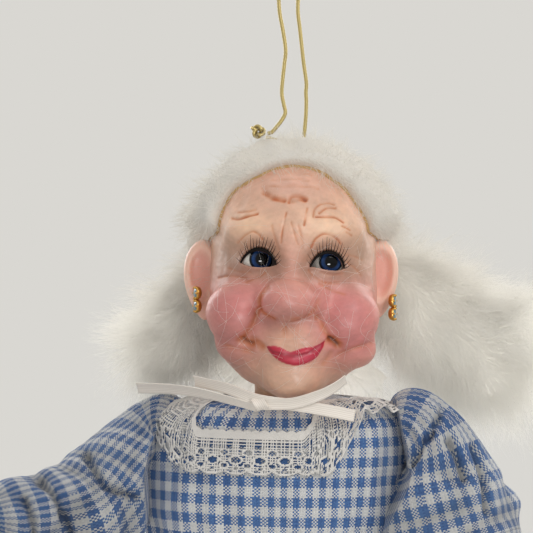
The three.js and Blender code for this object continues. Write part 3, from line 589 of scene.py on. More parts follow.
# %% [markdown]
# ## Clay head
# The real head is modelled from lumps of clay that were smoothed into each other. The same is done here
# with a distance field: each lump is an egg, and soft joins melt them together. Rays from the middle of
# the head find the skin, on a net that is fine over the face. Wrinkles, lids and lips are then strokes
# pressed into or raised from that skin, at the places where the photograph shows them.

# %% Lumps of the head
HEAD_LUMPS = {
    "skull": ((0, 2, -81), (43.2, 43, 48), 0.0),
    "jaw": ((0, -4, -98.6), (42.6, 33, 42), 8.0),
    "brow": ((0, -13, -78.3), (34, 14.4, 10), 6.0),
    "bridge": ((-0.8, -17.6, -87.2), (6.4, 9, 19), 4.0),
    "cheek_left": ((12.9, -13.4, -99.6), (17.8, 16.6, 16.8), 2.2),
    "cheek_right": ((-14.4, -13.4, -98.4), (15.8, 16, 15.8), 2.0),
    "jowl_left": ((14.6, -10.0, -107.6), (13, 13, 10), 3.0),
    "jowl_right": ((-14.2, -10.0, -106.4), (11, 12, 9), 3.0),
    "muzzle": ((0.2, -15.4, -104.6), (21, 13.2, 14), 2.6),
    "chin": ((-0.2, -13.6, -114.6), (15, 13, 11.4), 5.0),
    "nose": ((-1.7, -22.4, -94.9), (13.4, 14, 10.6), 1.5),
    "wing_left": ((4.4, -19.0, -95.6), (7.4, 8, 7), 2.6),
    "wing_right": ((-7.2, -18.4, -95.4), (5.6, 7, 6.6), 1.2),
}
EYES = {"left": np.array([8.2, -13, -85.2]), "right": np.array([-9.2, -13, -84.4])}
EYE_RADIUS = 5.5
LID_RADIUS = 6.25
NECK_AXIS, NECK_RADIUS, NECK_END = (-2.0, 4.0), 8.0, -120.4


def egg_gap(points, centre, size):
    """About how far points lie outside an egg; negative inside it."""
    half = np.array(size) / 2
    near = (points - np.array(centre)) / half
    length = np.linalg.norm(near, axis=-1)
    return length * (length - 1) / np.maximum(np.linalg.norm(near / half, axis=-1), 1e-9)


def melt(a, b, soft):
    share = np.clip(0.5 + 0.5 * (b - a) / max(soft, 1e-6), 0, 1)
    return b * (1 - share) + a * share - soft * share * (1 - share)


def clay_gap(points):
    whole = None
    for centre, size, soft in HEAD_LUMPS.values():
        lump = egg_gap(points, centre, size)
        whole = lump if whole is None else melt(lump, whole, soft)
    for centre in EYES.values():
        whole = melt(np.linalg.norm(points - centre, axis=-1) - LID_RADIUS, whole, 1.4)
    aside = np.hypot(points[..., 0] - NECK_AXIS[0], points[..., 1] - NECK_AXIS[1]) - NECK_RADIUS
    neck = np.maximum(aside, np.maximum(NECK_END - points[..., 2], points[..., 2] + 98))
    return melt(neck, whole, 3.0)


print("lumps of clay:", len(HEAD_LUMPS))

# %% Rays to the skin
HEAD_MIDDLE = np.array([0.0, -2.0, -92.0])
COLUMNS, FRONT_SHARE = 300, 0.42
FIRST_REACH, RAY_STEPS, RAY_CAUTION = 46.0, 44, 0.85
side_step = np.linspace(-1, 1, COLUMNS, endpoint=False)
sideways = np.abs(side_step)
turn = np.sign(side_step) * math.pi * (FRONT_SHARE * sideways + (1 - FRONT_SHARE) * sideways ** 3)
falls = [np.linspace(1.5, 30, 26), np.linspace(30.6, 150, 208), np.linspace(152, 178.5, 22)]
fall = np.radians(np.concatenate(falls))[:, None]
rays_out = together(np.sin(fall) * np.sin(turn), -np.sin(fall) * np.cos(turn), np.cos(fall))
reach = np.full(rays_out.shape[:2], FIRST_REACH)
for _ in range(RAY_STEPS):
    reach = reach - RAY_CAUTION * clay_gap(HEAD_MIDDLE + rays_out * reach[..., None])
skin = HEAD_MIDDLE + rays_out * reach[..., None]
print("skin net:", skin.shape[:2], "depth at the nose in mm:", round(float(skin[..., 1].min()), 2))

# %% [markdown]
# The strokes are lists of places on the face plane, a width, a depth in millimetres and how much brown
# wash the painter left in them. A positive depth is pressed in, a negative one stands up.

# %% Wrinkles and folds
STROKES = [
    (((272, 179.5), (290, 178.5), (309, 180)), 0.55, 0.22, 0.25),
    (((262, 187), (290, 185.8), (319, 187.4)), 0.55, 0.26, 0.3),
    (((268, 173), (290, 171.5), (312, 173.5)), 0.5, 0.16, 0.2),
    (((264, 192), (272.6, 197.6), (284.5, 201)), 0.8, 0.6, 0.8),
    (((289.2, 203), (291.6, 197.2), (299.3, 196.3), (306, 200)), 0.65, 0.5, 0.7),
    (((293, 201.6), (299, 199.4), (304.5, 200.4)), 0.9, 0.4, 0.55),
    (((231.5, 217), (240.3, 218), (257.4, 213.6)), 0.55, 0.5, 0.75),
    (((238, 211), (247, 211.5), (256, 209.5)), 0.6, 0.3, 0.4),
    (((313.3, 217), (314.7, 209.8), (320.3, 204.4), (328.7, 202.6), (335, 204)), 0.5, 0.42, 0.55),
    (((319.5, 213), (327.3, 207.9), (336, 207.7)), 0.55, 0.45, 0.65),
    (((316, 216.8), (328.7, 216.6), (337, 217.8), (343.8, 222)), 0.55, 0.5, 0.8),
    (((342.6, 225.8), (350.6, 229.6)), 0.45, 0.4, 0.7),
    (((347, 232), (352, 235)), 0.45, 0.35, 0.6),
    (((307.2, 209), (304, 225.5)), 0.5, 0.42, 0.65),
    (((286.2, 214), (283, 227), (281, 243)), 0.5, 0.42, 0.6),
    (((291, 223), (294, 233), (298, 244)), 0.5, 0.3, 0.35),
    (((298, 226), (301, 236), (304, 248)), 0.6, 0.25, 0.3),
    (((272, 226), (275, 238), (279, 250)), 0.6, 0.22, 0.25),
    (((236, 241), (241, 236.6), (246.6, 233), (252.3, 230.9), (258, 233.6), (262, 238.6)), 0.5, 0.5, 0.75),
    (((311, 248), (315, 239.4), (322, 234.4), (330, 234.2), (336.5, 237.6), (341, 243.5)), 0.5, 0.5, 0.8),
    (((217, 278.4), (229.4, 276.2), (245.6, 278.4)), 0.6, 0.38, 0.5),
    (((246, 282.4), (258, 277.6), (266, 272)), 0.55, 0.4, 0.5),
    (((308.6, 270), (316.4, 278), (326, 283), (339, 283)), 0.55, 0.4, 0.5),
    (((319.6, 283.6), (331.7, 290), (345, 294.6)), 0.6, 0.4, 0.4),
    (((228, 268), (238, 271.5), (250, 272.5)), 0.5, 0.24, 0.3),
    (((321, 272.5), (332, 275.2), (343, 273.6)), 0.5, 0.22, 0.2),
    (((347, 262), (356, 268), (362, 276)), 0.6, 0.26, 0.35),
    (((345, 254), (355, 256), (363, 260)), 0.6, 0.22, 0.3),
    (((268.5, 287), (262.8, 293), (259.6, 300), (259.2, 308)), 0.7, 0.75, 0.7),
    (((259.6, 309), (265.6, 314.6), (274.6, 318)), 0.7, 0.5, 0.55),
    (((318, 300), (315, 309), (305, 316), (292, 319.4)), 0.8, 0.35, 0.35),
    (((257, 310), (254, 320), (250, 329), (244, 336), (240, 341)), 0.95, 0.85, 0.75),
    (((317, 317), (322.5, 326.6), (327, 334), (333, 341)), 1.0, 0.6, 0.5),
    (((240, 341.6), (245, 343.4), (251, 345)), 1.3, 1.1, 1.0),
    (((332, 341), (336, 343), (339, 345.6)), 1.3, 1.2, 1.1),
    (((251, 339), (257, 343), (262, 347.4)), 1.1, 0.5, 0.55),
    (((326, 344), (330, 343), (334, 343)), 1.0, 0.6, 0.5),
    (((331, 353), (327, 359), (322.6, 365)), 0.9, 0.4, 0.3),
    (((340, 355.6), (353.5, 350), (372, 345)), 0.9, 0.5, 0.3),
    (((226, 347), (238, 351), (252, 353)), 0.9, 0.4, 0.4),
    (((284.6, 327), (285.2, 334)), 0.9, 0.25, 0.45),
]
PRESSED = {"forehead_bump": (spot(290, 205), 7.0, 0.5), "temple": (spot(222, 245), 6.0, -0.8)}


def line_gap(places, line):
    """How far places lie from a line of straight steps."""
    away = np.full(places.shape[:-1], np.inf)
    for a, b in zip(line[:-1], line[1:]):
        d = b - a
        t = np.clip(((places - a) @ d) / max(d @ d, 1e-12), 0, 1)
        away = np.minimum(away, np.linalg.norm(places - a - t[..., None] * d, axis=-1))
    return away


def stroke_gap(places, path):
    """How far places lie from a stroke, on the face plane or in pixels."""
    return line_gap(places, resampled(path, 8 * len(path)))


# %% Strokes pressed into the skin
flat = skin[..., [0, 2]]
front = ease(4.0, -4.0, skin[..., 1])
lift = 0.09 * ripple(skin, 7.0, 3) + 0.03 * ripple(skin, 2.4, 4)
wash = np.zeros(flat.shape[:2])
patchy = 0.7 + 0.3 * ripple(skin, 4.0, 5)
for path, width, depth, brown in STROKES:
    away = stroke_gap(flat, spots(*path))
    slim, shallow = (0.6, 0.6) if width < 0.64 else (0.85, 0.9)
    lift -= depth * shallow * bell(away, width * slim) * front
    left_in = brown * patchy if brown < 0.9 else brown
    wash = np.maximum(wash, left_in * bell(away, width * slim * 0.85) * front)
for place, size, height in PRESSED.values():
    lift += height * np.exp(-(((flat - np.array(place)) / size) ** 2).sum(-1)) * front
print("strokes pressed:", len(STROKES))

# %% [markdown]
# Lids and lips have outlines. A signed distance to each outline, negative inside, opens the eyes, raises
# the lips and later tells the paint where to stop.

# %% Eye openings and lips
EYE_OUTLINES = {
    "right": spots((240.2, 262), (244.6, 254.4), (251, 249.6), (258, 247.6), (266, 249.4), (272.4, 255.4),
                   (276, 263.4), (271, 266.2), (262, 267), (250, 266.2)),
    "left": spots((310, 265.4), (315.6, 256.4), (323, 251.6), (330.4, 250.6), (337.6, 253.4), (342.8, 259.6),
                  (345, 267.6), (338, 270.4), (328, 270), (318, 267.6)),
}
LIPS = spots((266.5, 347.6), (273, 345.6), (280, 346.8), (288, 351), (293, 351.2), (300, 348.6), (307, 346.6),
             (315, 346), (325.6, 342.8), (321, 351), (315, 358.4), (307, 363.2), (297, 365), (287, 363.4),
             (278, 359.6), (271, 353.6))

FAR_OFF = 9.0


def outline_gap(places, outline):
    """Signed distance to a smooth closed outline, negative inside."""
    count = len(outline)
    wrapped = np.vstack([outline[-2:], outline, outline[:3]])
    line = smooth_rows(wrapped, np.linspace(2, count + 2, 6 * count + 1))
    inside = np.zeros(places.shape[:-1], bool)
    x, z = places[..., 0], places[..., 1]
    for a, b in zip(line[:-1], line[1:]):
        d = b - a
        rise = d[1] if abs(d[1]) > 1e-12 else 1e-12
        inside ^= ((a[1] > z) != (b[1] > z)) & (x < d[0] * (z - a[1]) / rise + a[0])
    away = line_gap(places, line)
    return np.where(front > 0, np.where(inside, -away, away), FAR_OFF)


# %% Lids and lips raised
eye_gap = {side: outline_gap(flat, line) for side, line in EYE_OUTLINES.items()}
any_eye = np.minimum(eye_gap["left"], eye_gap["right"])
lift += 0.28 * bell(any_eye - 0.35, 0.45) * (any_eye > -0.2)
lift -= 3.4 * ease(0.05, -0.35, any_eye)
lip_gap = outline_gap(flat, LIPS)
lift += 0.75 * ease(0.25, -1.1, lip_gap)
mouth_line = stroke_gap(flat, spots((267.5, 348.6), (279, 351.6), (291, 354.6), (303, 353), (324, 344)))
lift -= 0.32 * bell(mouth_line, 0.45) * (lip_gap < 0.3)
skin = skin + rays_out * lift[..., None]
print("skin moved in mm:", round(float(lift.min()), 2), "to", round(float(lift.max()), 2))

# %% Paint on the clay
CLAY, ROSE, DEEP = (224, 180, 154), (213, 131, 128), (190, 106, 62)
TAUPE, CRIMSON, PEACH = (163, 116, 92), (196, 24, 58), (226, 184, 152)


def laid(colour, target, share):
    """A coat of paint of 0 to 255 that covers by its share."""
    return colour + (np.array(target) - colour) * np.clip(share, 0, 1)[..., None]


def glow(px, py, wide, high):
    """A soft spot of paint at a pixel."""
    x, z = spot(px, py)
    return np.exp(-((flat[..., 0] - x) / wide) ** 2 - ((flat[..., 1] - z) / high) ** 2) * front


coats = [
    ((250, 209, 176), 0.85 * (glow(248, 226, 6, 3.4) + glow(328, 226, 7, 3.6))),
    (PEACH, 0.8 * glow(292, 334, 9, 4)), ((223, 174, 157), 0.7 * glow(292, 182, 12, 5)),
]
for *place, amount in (
    (232, 308, 9.6, 9.4, 1.1), (348, 314, 10.6, 9.8, 1.1), (354, 342, 8.4, 7, 0.9), (230, 338, 7.5, 7, 0.75),
    (286, 304, 7.5, 5, 0.55), (290, 268, 4.5, 8, 0.3), (262, 292, 5, 4, 0.4), (322, 292, 5, 4, 0.4),
):
    coats.append((ROSE, amount * glow(*place)))
# A dusky coat under the nose and low on the viewer's left edge of the face is painted shade
coats.append(((176, 118, 110), 0.5 * (glow(290, 318, 9, 2) + glow(222, 345, 5, 8))))
for side in SIDES:
    above = ease(0.0, 0.6, flat[..., 1] - EYES[side][2] + 0.6)
    coats.append((TAUPE, bell(eye_gap[side], 2.6) * (0.35 + 0.55 * above)))
    coats.append(((168, 128, 110), 0.55 * (bell(eye_gap[side] - 1.2, 2.4) * (1 - above))))
lips = ease(0.12, -0.12, lip_gap)
coats += [
    ((160, 132, 112), 0.5 * (glow(222, 258, 4, 8) + glow(362, 258, 4, 7))), (DEEP, 1.3 * wash),
    ((92, 48, 38), 0.9 * np.clip(wash - 0.82, 0, 1) * 3), (CRIMSON, lips),
    # A lighter pink spot on the right of the lower lip is a painted highlight
    ((214, 66, 96), 0.5 * lips * glow(306, 357, 3.4, 1.6)),
    ((146, 12, 40), 0.6 * bell(mouth_line, 0.4) * lips), ((48, 26, 24), ease(0.08, -0.2, any_eye)),
]
tint = np.full((*flat.shape[:2], 3), CLAY, float)
for target, share in coats:
    tint = laid(tint, target, share)
tint *= (1 + 0.02 * ripple(skin, 5.0, 8) + 0.015 * ripple(skin, 1.6, 9))[..., None]
tint = linear(np.clip(tint, 0, 255) / 255)
print("coats of paint:", len(coats))

# %% [markdown]
# Ears are flat lumps pressed to the sides of the head, with a hollow inside the rim. They are grids of
# their own, set into the head's skin, and belong to the same clay piece.

# %% Ears
EAR_SIZE = np.array((11.2, 6.6, 21.2))
EAR_MIDDLES = {"left": np.array((22.0, 2.5, -89.6)), "right": np.array((-22.9, 2.5, -90.0))}
EAR_ROWS, EAR_SIDES = 34, 36


def ear_rings(side):
    """The rings of an ear, and how deep its hollow is at each point."""
    angle = circle(EAR_SIDES)
    rise = np.linspace(-0.98, 0.98, EAR_ROWS)[:, None] * math.pi / 2
    a, c = np.cos(rise) * np.cos(angle), np.cos(rise) * np.sin(angle)
    b = np.repeat(np.sin(rise), EAR_SIDES, 1)
    broad_top = 1 + 0.22 * b - 0.1 * b ** 2
    within = ((a - 0.18) / 0.62) ** 2 + ((b - 0.12) / 0.7) ** 2
    hollow = ease(1, 0.25, within) * (c < 0)
    rim = np.exp(-(within - 1.15) ** 2 / 0.12) * (c < 0)
    points = together(SIDES[side] * a * broad_top, c * (1 - 0.62 * hollow) - 0.1 * rim, b)
    return points * EAR_SIZE / 2 + EAR_MIDDLES[side], hollow


forms, tints = [closed_grid(skin)], [with_hubs(tint)]
for side in SIDES:
    rings, hollow = ear_rings(side)
    colour = laid(np.full((*hollow.shape, 3), (250.0, 204, 184)), (238, 174, 158), hollow)
    colour = laid(colour, (242, 180, 164), ease(2.0, -6.0, rings[..., 2] + 96) * 0.6) / 255
    forms.append(closed_grid(rings))
    tints.append(with_hubs(linear(colour)))
head_points, head_faces = joined(*forms)
print("head with ears, points:", len(head_points))

# %% Clay finish and the head itself
clay_skin, tree, surface = new_finish(
    "clay_skin", 0.45, Subsurface_Weight=0.12, Subsurface_Scale=0.0012, Subsurface_Radius=(1.0, 0.45, 0.3),
    Coat_Weight=0.2, Coat_Roughness=0.3,
)
painted = node(tree, "ShaderNodeVertexColor", layer_name="skin_paint").outputs["Color"]
specks = mottled(tree, 3.2, 0.5)
wet = node(tree, "ShaderNodeMapRange", {"Value": specks["Value"], "To Min": 0.38, "To Max": 0.54})
tree.links.new(wet.outputs[0], surface.inputs["Roughness"])
coat(surface, between(tree, 0.16, painted, specks["Fine"], "SOFT_LIGHT"), specks["Fine"], (0.12, 0.0003))


def coloured(made, colours):
    """Stores the linear skin paint of each point of a mesh."""
    layer = made.data.color_attributes.new("skin_paint", "FLOAT_COLOR", "POINT")
    rgba = np.hstack([colours, np.ones((len(colours), 1))])
    layer.data.foreach_set("color", rgba.astype(np.float32).ravel())


head = fitted(piece("clay_head", head_points, head_faces, clay_skin), "head", "head")
coloured(head, np.vstack(tints))
head_tree = BVHTree.FromPolygons(metres(head_points), head_faces)

# %% [markdown]
# ## Eyes and lashes
# The eyes are glossy half-beads with a painted iris that looks to the viewer's right. Each is a ball whose
# pole is its gaze, so the painted rings follow from the angle to that pole. Lashes are a black strip on the
# lid's edge with curved hairs, set along the same outline that opened the lid.

# %% Eye finish
PUPIL_ANGLE, IRIS_ANGLE = 17.0, 33.0
STOPS = [
    (0.0, "#050507"), (PUPIL_ANGLE - 1, "#050507"), (PUPIL_ANGLE + 2, "#1c345c"), (IRIS_ANGLE - 8, "#24467c"),
    (IRIS_ANGLE - 4, "#0a1322"), (IRIS_ANGLE, "#05070c"), (IRIS_ANGLE + 2.5, "#e9e5de"), (90.0, "#efe9e2"),
]
eye_finish, tree, surface = new_finish("glass_eye", 0.06, Specular_IOR_Level=0.2)
part = axes(tree, uv_place(tree))
ramp = node(tree, "ShaderNodeValToRGB", {0: part[1]})
rings = ramp.color_ramp.elements
rings.remove(rings[1])
for index, (angle, code) in enumerate(STOPS):
    stop = rings[0] if index == 0 else rings.new(angle / 180)
    stop.position, stop.color = angle / 180, (*paint(code), 1.0)
drawn_out = {axis: sums(tree, "MULTIPLY", part[axis], size) for axis, size in ((0, 46.0), (1, 9.0))}
drawn_out = node(tree, "ShaderNodeCombineXYZ", drawn_out).outputs[0]
streak = node(tree, "ShaderNodeTexNoise", {"Vector": drawn_out, "Scale": 1.0})
coat(surface, between(tree, 0.55, ramp.outputs[0], streak.outputs["Fac"], "OVERLAY"))

# %% Two eyeballs
GAZE = {"left": (0.23, -1.0, -0.03), "right": (0.22, -1.0, -0.07)}
EYE_SIDES = 48
eye_fall = np.radians(np.concatenate([np.linspace(1.5, 40, 24), np.linspace(44, 178, 20)]))
eye_uv = np.stack(np.meshgrid(np.arange(EYE_SIDES + 1) / EYE_SIDES, eye_fall / math.pi), -1)
pole_uv = np.repeat([(0.0, 0.0), (1.0, 1.0)], EYE_SIDES * 3, 0)
for side, middle in EYES.items():
    gaze = unit(GAZE[side])
    aside = unit(np.cross(gaze, (0, 0, 1)))
    spread = hoop(aside, np.cross(gaze, aside), circle(EYE_SIDES))
    ball = np.sin(eye_fall)[:, None, None] * spread + np.cos(eye_fall)[:, None, None] * gaze
    points, faces = closed_grid(middle + EYE_RADIUS * ball)
    corners = np.vstack([grid_uv(eye_uv, faces[0][0] != 0), pole_uv])
    eyeball = piece(f"glass_eye_{side}", points, faces, eye_finish, corners)
    fitted(eyeball, "head", f"eye_{side}")

# %% Lash strips and hairs
LASH_COUNT, LASH_LENGTH, LASH_STEPS = 17, 3.4, 8
UPPER_LID, LID_STEPS = 7, 40
lash_finish = two_toned("lash_fibre", 0.6, (1.0, 0.2), "Value", "#060404", "#1c1411", Specular_IOR_Level=0.12)


def on_face(x, z, out=0.0):
    """The first point of the clay that is met from the front at x and z."""
    hit, normal, _, _ = head_tree.ray_cast(Vector((x, -60, z)) * MM, Vector((0, 1, 0)))
    if hit is None:
        return np.array((x, 0, z))
    return np.array(hit + normal * out * MM) / MM


draw = np.random.default_rng(21)
for side, outline in EYE_OUTLINES.items():
    edge = resampled(outline[:UPPER_LID], LID_STEPS)
    above = edge + unit(edge - EYES[side][[0, 2]]) * 0.45
    lid_y = np.array([on_face(*place)[1] for place in above])
    lid_y = np.convolve(np.pad(lid_y, 3, mode="edge"), np.ones(7) / 7, "valid")
    strip = np.stack([edge[:, 0], lid_y - 0.05, edge[:, 1] - 0.42], 1)
    thickness = 0.35 * np.sin(np.linspace(0.3, math.pi - 0.25, LID_STEPS)) + 0.07
    roots = strip[np.linspace(2, LID_STEPS - 2, LASH_COUNT).round().astype(int)]
    along = np.linspace(-1, 1, LASH_COUNT)
    away = np.stack([0.6 * along + 0.12, -0.62 - 0.12 * (1 - along ** 2), 0.72 - 0.42 * along ** 2], 1)
    away = unit(away + draw.normal(0, 0.07, away.shape))
    t = np.linspace(0, 1, LASH_STEPS)[None, :, None]
    length = (LASH_LENGTH * draw.uniform(0.82, 1.12, LASH_COUNT) * (1 - 0.42 * along ** 4))[:, None, None]
    hairs = roots[:, None] + away[:, None] * t * length + np.array((0, 0, 1.0)) * (t * t) * length * 0.3
    tapered = np.linspace(0.13, 0.03, LASH_STEPS)
    strip_and_hairs = joined(tubes([strip], thickness, 8), tubes(hairs, tapered, 4))
    lashes = piece(f"lash_strip_{side}", *strip_and_hairs, lash_finish)
    fitted(lashes, "head", f"lashes_{side}")

# %% [markdown]
# ## Wig cap
# The wig is sewn on a tan felt cap whose cut edge shows as a thin line round the forehead. The cap is laid
# over the clay by rays from all round, so it follows the sculpted skull, and ends behind the ears.

# %% Cap edge
CAP_AXIS_Z, CAP_LIFT, CAP_BACK, CAP_THICK = -84.0, 0.9, 12, 0.8
CAP_ROWS, CAP_ANGLES = 14, np.linspace(-104, 104, 105)
CLEAR_OF_HEAD = 60
cap_felt = two_toned("cap_felt", 0.9, (1.4, 0.18), "Fine", "#bd9661", "#dcba88", (0.5, 0.0003))


def sin_cos(degrees):
    return math.sin(math.radians(degrees)), math.cos(math.radians(degrees))


def hair_edge(angle):
    """How far forward the hairline lies at an angle round the head, where 0 is the top."""
    a = np.abs(angle)
    left_side = 2.2 * ease(-22, -48, angle)
    temple = (17.0 - left_side) * ease(70, 86, a)
    return -10.4 + left_side + 0.9 * ease(20, 60, a) + temple + 5.5 * ease(110, 160, a)


def clay_radius(angle, y):
    """How far the clay reaches from the axis through the head, at an angle in degrees and a depth."""
    s, c = sin_cos(angle)
    way = Vector((s, 0, c))
    start = Vector((0, y, CAP_AXIS_Z)) + way * CLEAR_OF_HEAD
    hit, _, _, gone = head_tree.ray_cast(start * MM, -way)
    return CLEAR_OF_HEAD - gone / MM if hit is not None else 0.0


def sheet_box(points, rows, columns):
    """Outward faces of a sheet with two sides and a rim; its first points are the outer side."""
    top, count = grid_faces(rows, columns, False), rows * columns
    edge = [*range(columns), *[r * columns + columns - 1 for r in range(1, rows)]]
    edge += [*range(count - 2, count - columns - 1, -1), *[r * columns for r in range(rows - 2, 0, -1)]]
    rim = [[b, a, a + count, b + count] for a, b in zip(edge, edge[1:] + edge[:1])]
    faces = np.vstack([top, top[:, ::-1] + count, np.array(rim)])
    a, b, c = (points[faces[:, corner]] for corner in range(3))
    return faces if (a * np.cross(b, c)).sum() > 0 else faces[:, ::-1]


# %% The cap on the clay
cap_grid = np.zeros((CAP_ROWS, len(CAP_ANGLES), 3))
for k, angle in enumerate(CAP_ANGLES):
    front_y = float(hair_edge(angle))
    s, c = sin_cos(angle)
    for i, share in enumerate(np.linspace(0, 1, CAP_ROWS)):
        y = front_y + share * (CAP_BACK - front_y)
        r = clay_radius(angle, y) + CAP_LIFT - 0.5 * (i == 0)
        cap_grid[i, k] = (r * s, y, CAP_AXIS_Z + r * c)
cap_grid[..., 1] += 0.12 * ripple(cap_grid, 4.0, 31)
outer = cap_grid.reshape(-1, 3)
inner = outer - unit((outer - (0, 0, CAP_AXIS_Z)) * (1, 0, 1)) * CAP_THICK
both = np.vstack([outer, inner])
cap = piece("wig_cap_edge", both, sheet_box(both, CAP_ROWS, len(CAP_ANGLES)), cap_felt)
fitted(cap, "head", "wig_cap")

# %% [markdown]
# ## Mohair
# Wool fibres, much finer than a pixel, stand in the thousands on the wig. A felted mass carries them: a
# crown with a rolled front edge, and soft plumes that fall behind the shoulders. Geometry Nodes scatters
# strands on each mass, lays them along a flow that the mesh stores, then waves, droops and thins them.

# %% Mohair finish


def wool_tone(tree, share, below_crown_tones, shaded_crown_tones):
    """White wool, painted a little darker on the crown of the head as painted shade; each of the two pairs
    gives two tones, the second pair for the crown.
    """
    height = axes(tree, object_place(tree))[2]
    on_crown = node(tree, "ShaderNodeMapRange", {"Value": height, "From Min": -0.102, "From Max": -0.078})
    return between(tree, on_crown.outputs[0], between(tree, share, *below_crown_tones), between(tree, share, *shaded_crown_tones))


def lit_through(tree, surface, colour, share, airy):
    """Lets light pass as thin wool does: part of it glows through, and the shadows stay faint."""
    through = node(tree, "ShaderNodeBsdfTranslucent", {"Color": colour})
    glowing = node(tree, "ShaderNodeMixShader", {0: share, 1: surface.outputs[0], 2: through.outputs[0]})
    shadow = sums(tree, "MULTIPLY", node(tree, "ShaderNodeLightPath").outputs["Is Shadow Ray"], airy)
    clear = node(tree, "ShaderNodeBsdfTransparent")
    wool_light = node(tree, "ShaderNodeMixShader", {0: shadow, 1: glowing.outputs[0], 2: clear.outputs[0]})
    tree.links.new(wool_light.outputs[0], tree.nodes["Material Output"].inputs["Surface"])


mohair, tree, surface = new_finish("mohair", 0.75, Sheen_Weight=0.25, Sheen_Roughness=0.5)
wool = mottled(tree, 6.0, 0.7)
wool_colour = wool_tone(tree, wool["Value"], ("#efede8", "#f9f8f4"), ("#e0ddd6", "#ebe8e2"))
coat(surface, wool_colour)
lit_through(tree, surface, wool_colour, 0.4, 0.93)
felted = {}
for name, glowing_share in (("mohair_core", 0.12), ("mohair_plume_core", 0.42)):
    felted[name], tree, surface = new_finish(name, 0.95)
    wool = mottled(tree, 5.0, 0.5)
    core_colour = wool_tone(tree, wool["Fine"], ("#edebe6", "#f7f5f1"), ("#dedbd4", "#e9e6e0"))
    coat(surface, core_colour, wool["Fine"], (0.6, 0.0006))
    lit_through(tree, surface, core_colour, glowing_share, 0.88)

# %% Helpers for Geometry Nodes


def vector_sum(tree, operation, first, second):
    """One Vector Math node; returns its output."""
    inputs = {0: first, "Scale" if operation == "SCALE" else 1: second}
    return node(tree, "ShaderNodeVectorMath", inputs, operation=operation).outputs[0]


def hand_out(tree, instances, material, out):
    """The end of each tree: real geometry with its material."""
    real = node(tree, "GeometryNodeRealizeInstances", {"Geometry": instances})
    done = node(tree, "GeometryNodeSetMaterial", {"Geometry": real.outputs[0], "Material": material})
    tree.links.new(done.outputs[0], out[0])


# %% Strand tree
strand_tree, given, out = geometry_tree(
    "mohair_strands", ("Density", "Float", 1e6), ("Length", "Float", 0.01), ("Lift", "Float", 0.4),
    ("Spread", "Float", 0.3), ("Wave", "Float", 0.003), ("Wave Size", "Float", 0.012),
    ("Droop", "Float", 0.0), ("Radius", "Float", 0.00005), ("Seed", "Int", 1),
)
add, calc, steer = (partial(maker, strand_tree) for maker in (node, sums, vector_sum))
spread_out = {"Mesh": given["Geometry"], "Density": given["Density"], "Seed": given["Seed"]}
scatter = add("GeometryNodeDistributePointsOnFaces", spread_out).outputs
flow = add("GeometryNodeInputNamedAttribute", {"Name": "flow"}, data_type="FLOAT_VECTOR").outputs[0]
any_way = {0: (-1, -1, -1), 1: (1, 1, 1), "Seed": given["Seed"]}
stray = add("FunctionNodeRandomValue", any_way, data_type="FLOAT_VECTOR").outputs[0]
way = steer("ADD", flow, steer("SCALE", scatter["Normal"], given["Lift"]))
way = steer("ADD", way, steer("SCALE", stray, given["Spread"]))
aim = add("FunctionNodeAlignRotationToVector", {"Vector": way}, axis="Z").outputs[0]
uneven = add("FunctionNodeRandomValue", {2: 0.55, 3: 1.35, "Seed": given["Seed"]}, data_type="FLOAT")
long = calc("MULTIPLY", uneven.outputs[1], given["Length"])
long = add("ShaderNodeCombineXYZ", {0: long, 1: long, 2: long}).outputs[0]
line = add("GeometryNodeCurvePrimitiveLine", {"End": (0, 0, 1)}).outputs[0]
line = add("GeometryNodeResampleCurve", {"Curve": line, "Count": 6}).outputs[0]
placed = {"Points": scatter["Points"], "Instance": line, "Rotation": aim, "Scale": long}
strands = add("GeometryNodeInstanceOnPoints", placed).outputs[0]
strands = add("GeometryNodeRealizeInstances", {"Geometry": strands}).outputs[0]
along = add("GeometryNodeSplineParameter").outputs["Factor"]
bend = calc("POWER", along, 1.6)
waves = {
    "Vector": add("GeometryNodeInputPosition").outputs[0],
    "Scale": calc("DIVIDE", 1.0, given["Wave Size"]),
    "Detail": 1.0,
}
noise = add("ShaderNodeTexNoise", waves, noise_dimensions="3D").outputs["Color"]
sway = steer("SUBTRACT", noise, (0.5, 0.5, 0.5))
sway = steer("SCALE", sway, calc("MULTIPLY", calc("MULTIPLY", given["Wave"], 4.0), bend))
sink = calc("MULTIPLY", calc("MULTIPLY", given["Droop"], -1.0), bend)
sink = add("ShaderNodeCombineXYZ", {2: sink}).outputs[0]
moved = add("GeometryNodeSetPosition", {"Geometry": strands, "Offset": steer("ADD", sway, sink)}).outputs[0]
rim = add("GeometryNodeCurvePrimitiveCircle", {"Resolution": 3, "Radius": given["Radius"]}).outputs[0]
thin = calc("SUBTRACT", 1.0, calc("MULTIPLY", calc("POWER", along, 2.0), 0.85))
tubing = {"Curve": moved, "Profile Curve": rim, "Scale": thin, "Fill Caps": True}
hand_out(strand_tree, add("GeometryNodeCurveToMesh", tubing).outputs[0], given["Material"], out)

# %% Growing strands on a mass


def as_piece(evaluated, name):
    """The mesh that modifiers made, kept as a plain object."""
    mesh = bpy.data.meshes.new_from_object(evaluated)
    mesh.name = name
    mesh.shade_smooth()
    return linked(name, mesh)


def grow(tree, base, name, **settings):
    """Runs a Geometry Nodes tree on a base mesh and keeps the result as a plain mesh object."""
    modifier = base.modifiers.new("grow", "NODES")
    modifier.node_group = tree
    for item in tree.interface.items_tree:
        if item.in_out == "INPUT" and item.name.replace(" ", "_") in settings:
            modifier[item.identifier] = settings[item.name.replace(" ", "_")]
    base.update_tag()
    made = as_piece(base.evaluated_get(bpy.context.evaluated_depsgraph_get()), name)
    base.modifiers.remove(modifier)
    return made


def store(made, name, kind, field, values):
    """Keeps a value for each point of a mesh, for a tree or a material to read."""
    layer = made.data.attributes.new(name, kind, "POINT")
    layer.data.foreach_set(field, np.asarray(values, np.float32).ravel())


def area_of(made):
    return sum(polygon.area for polygon in made.data.polygons)


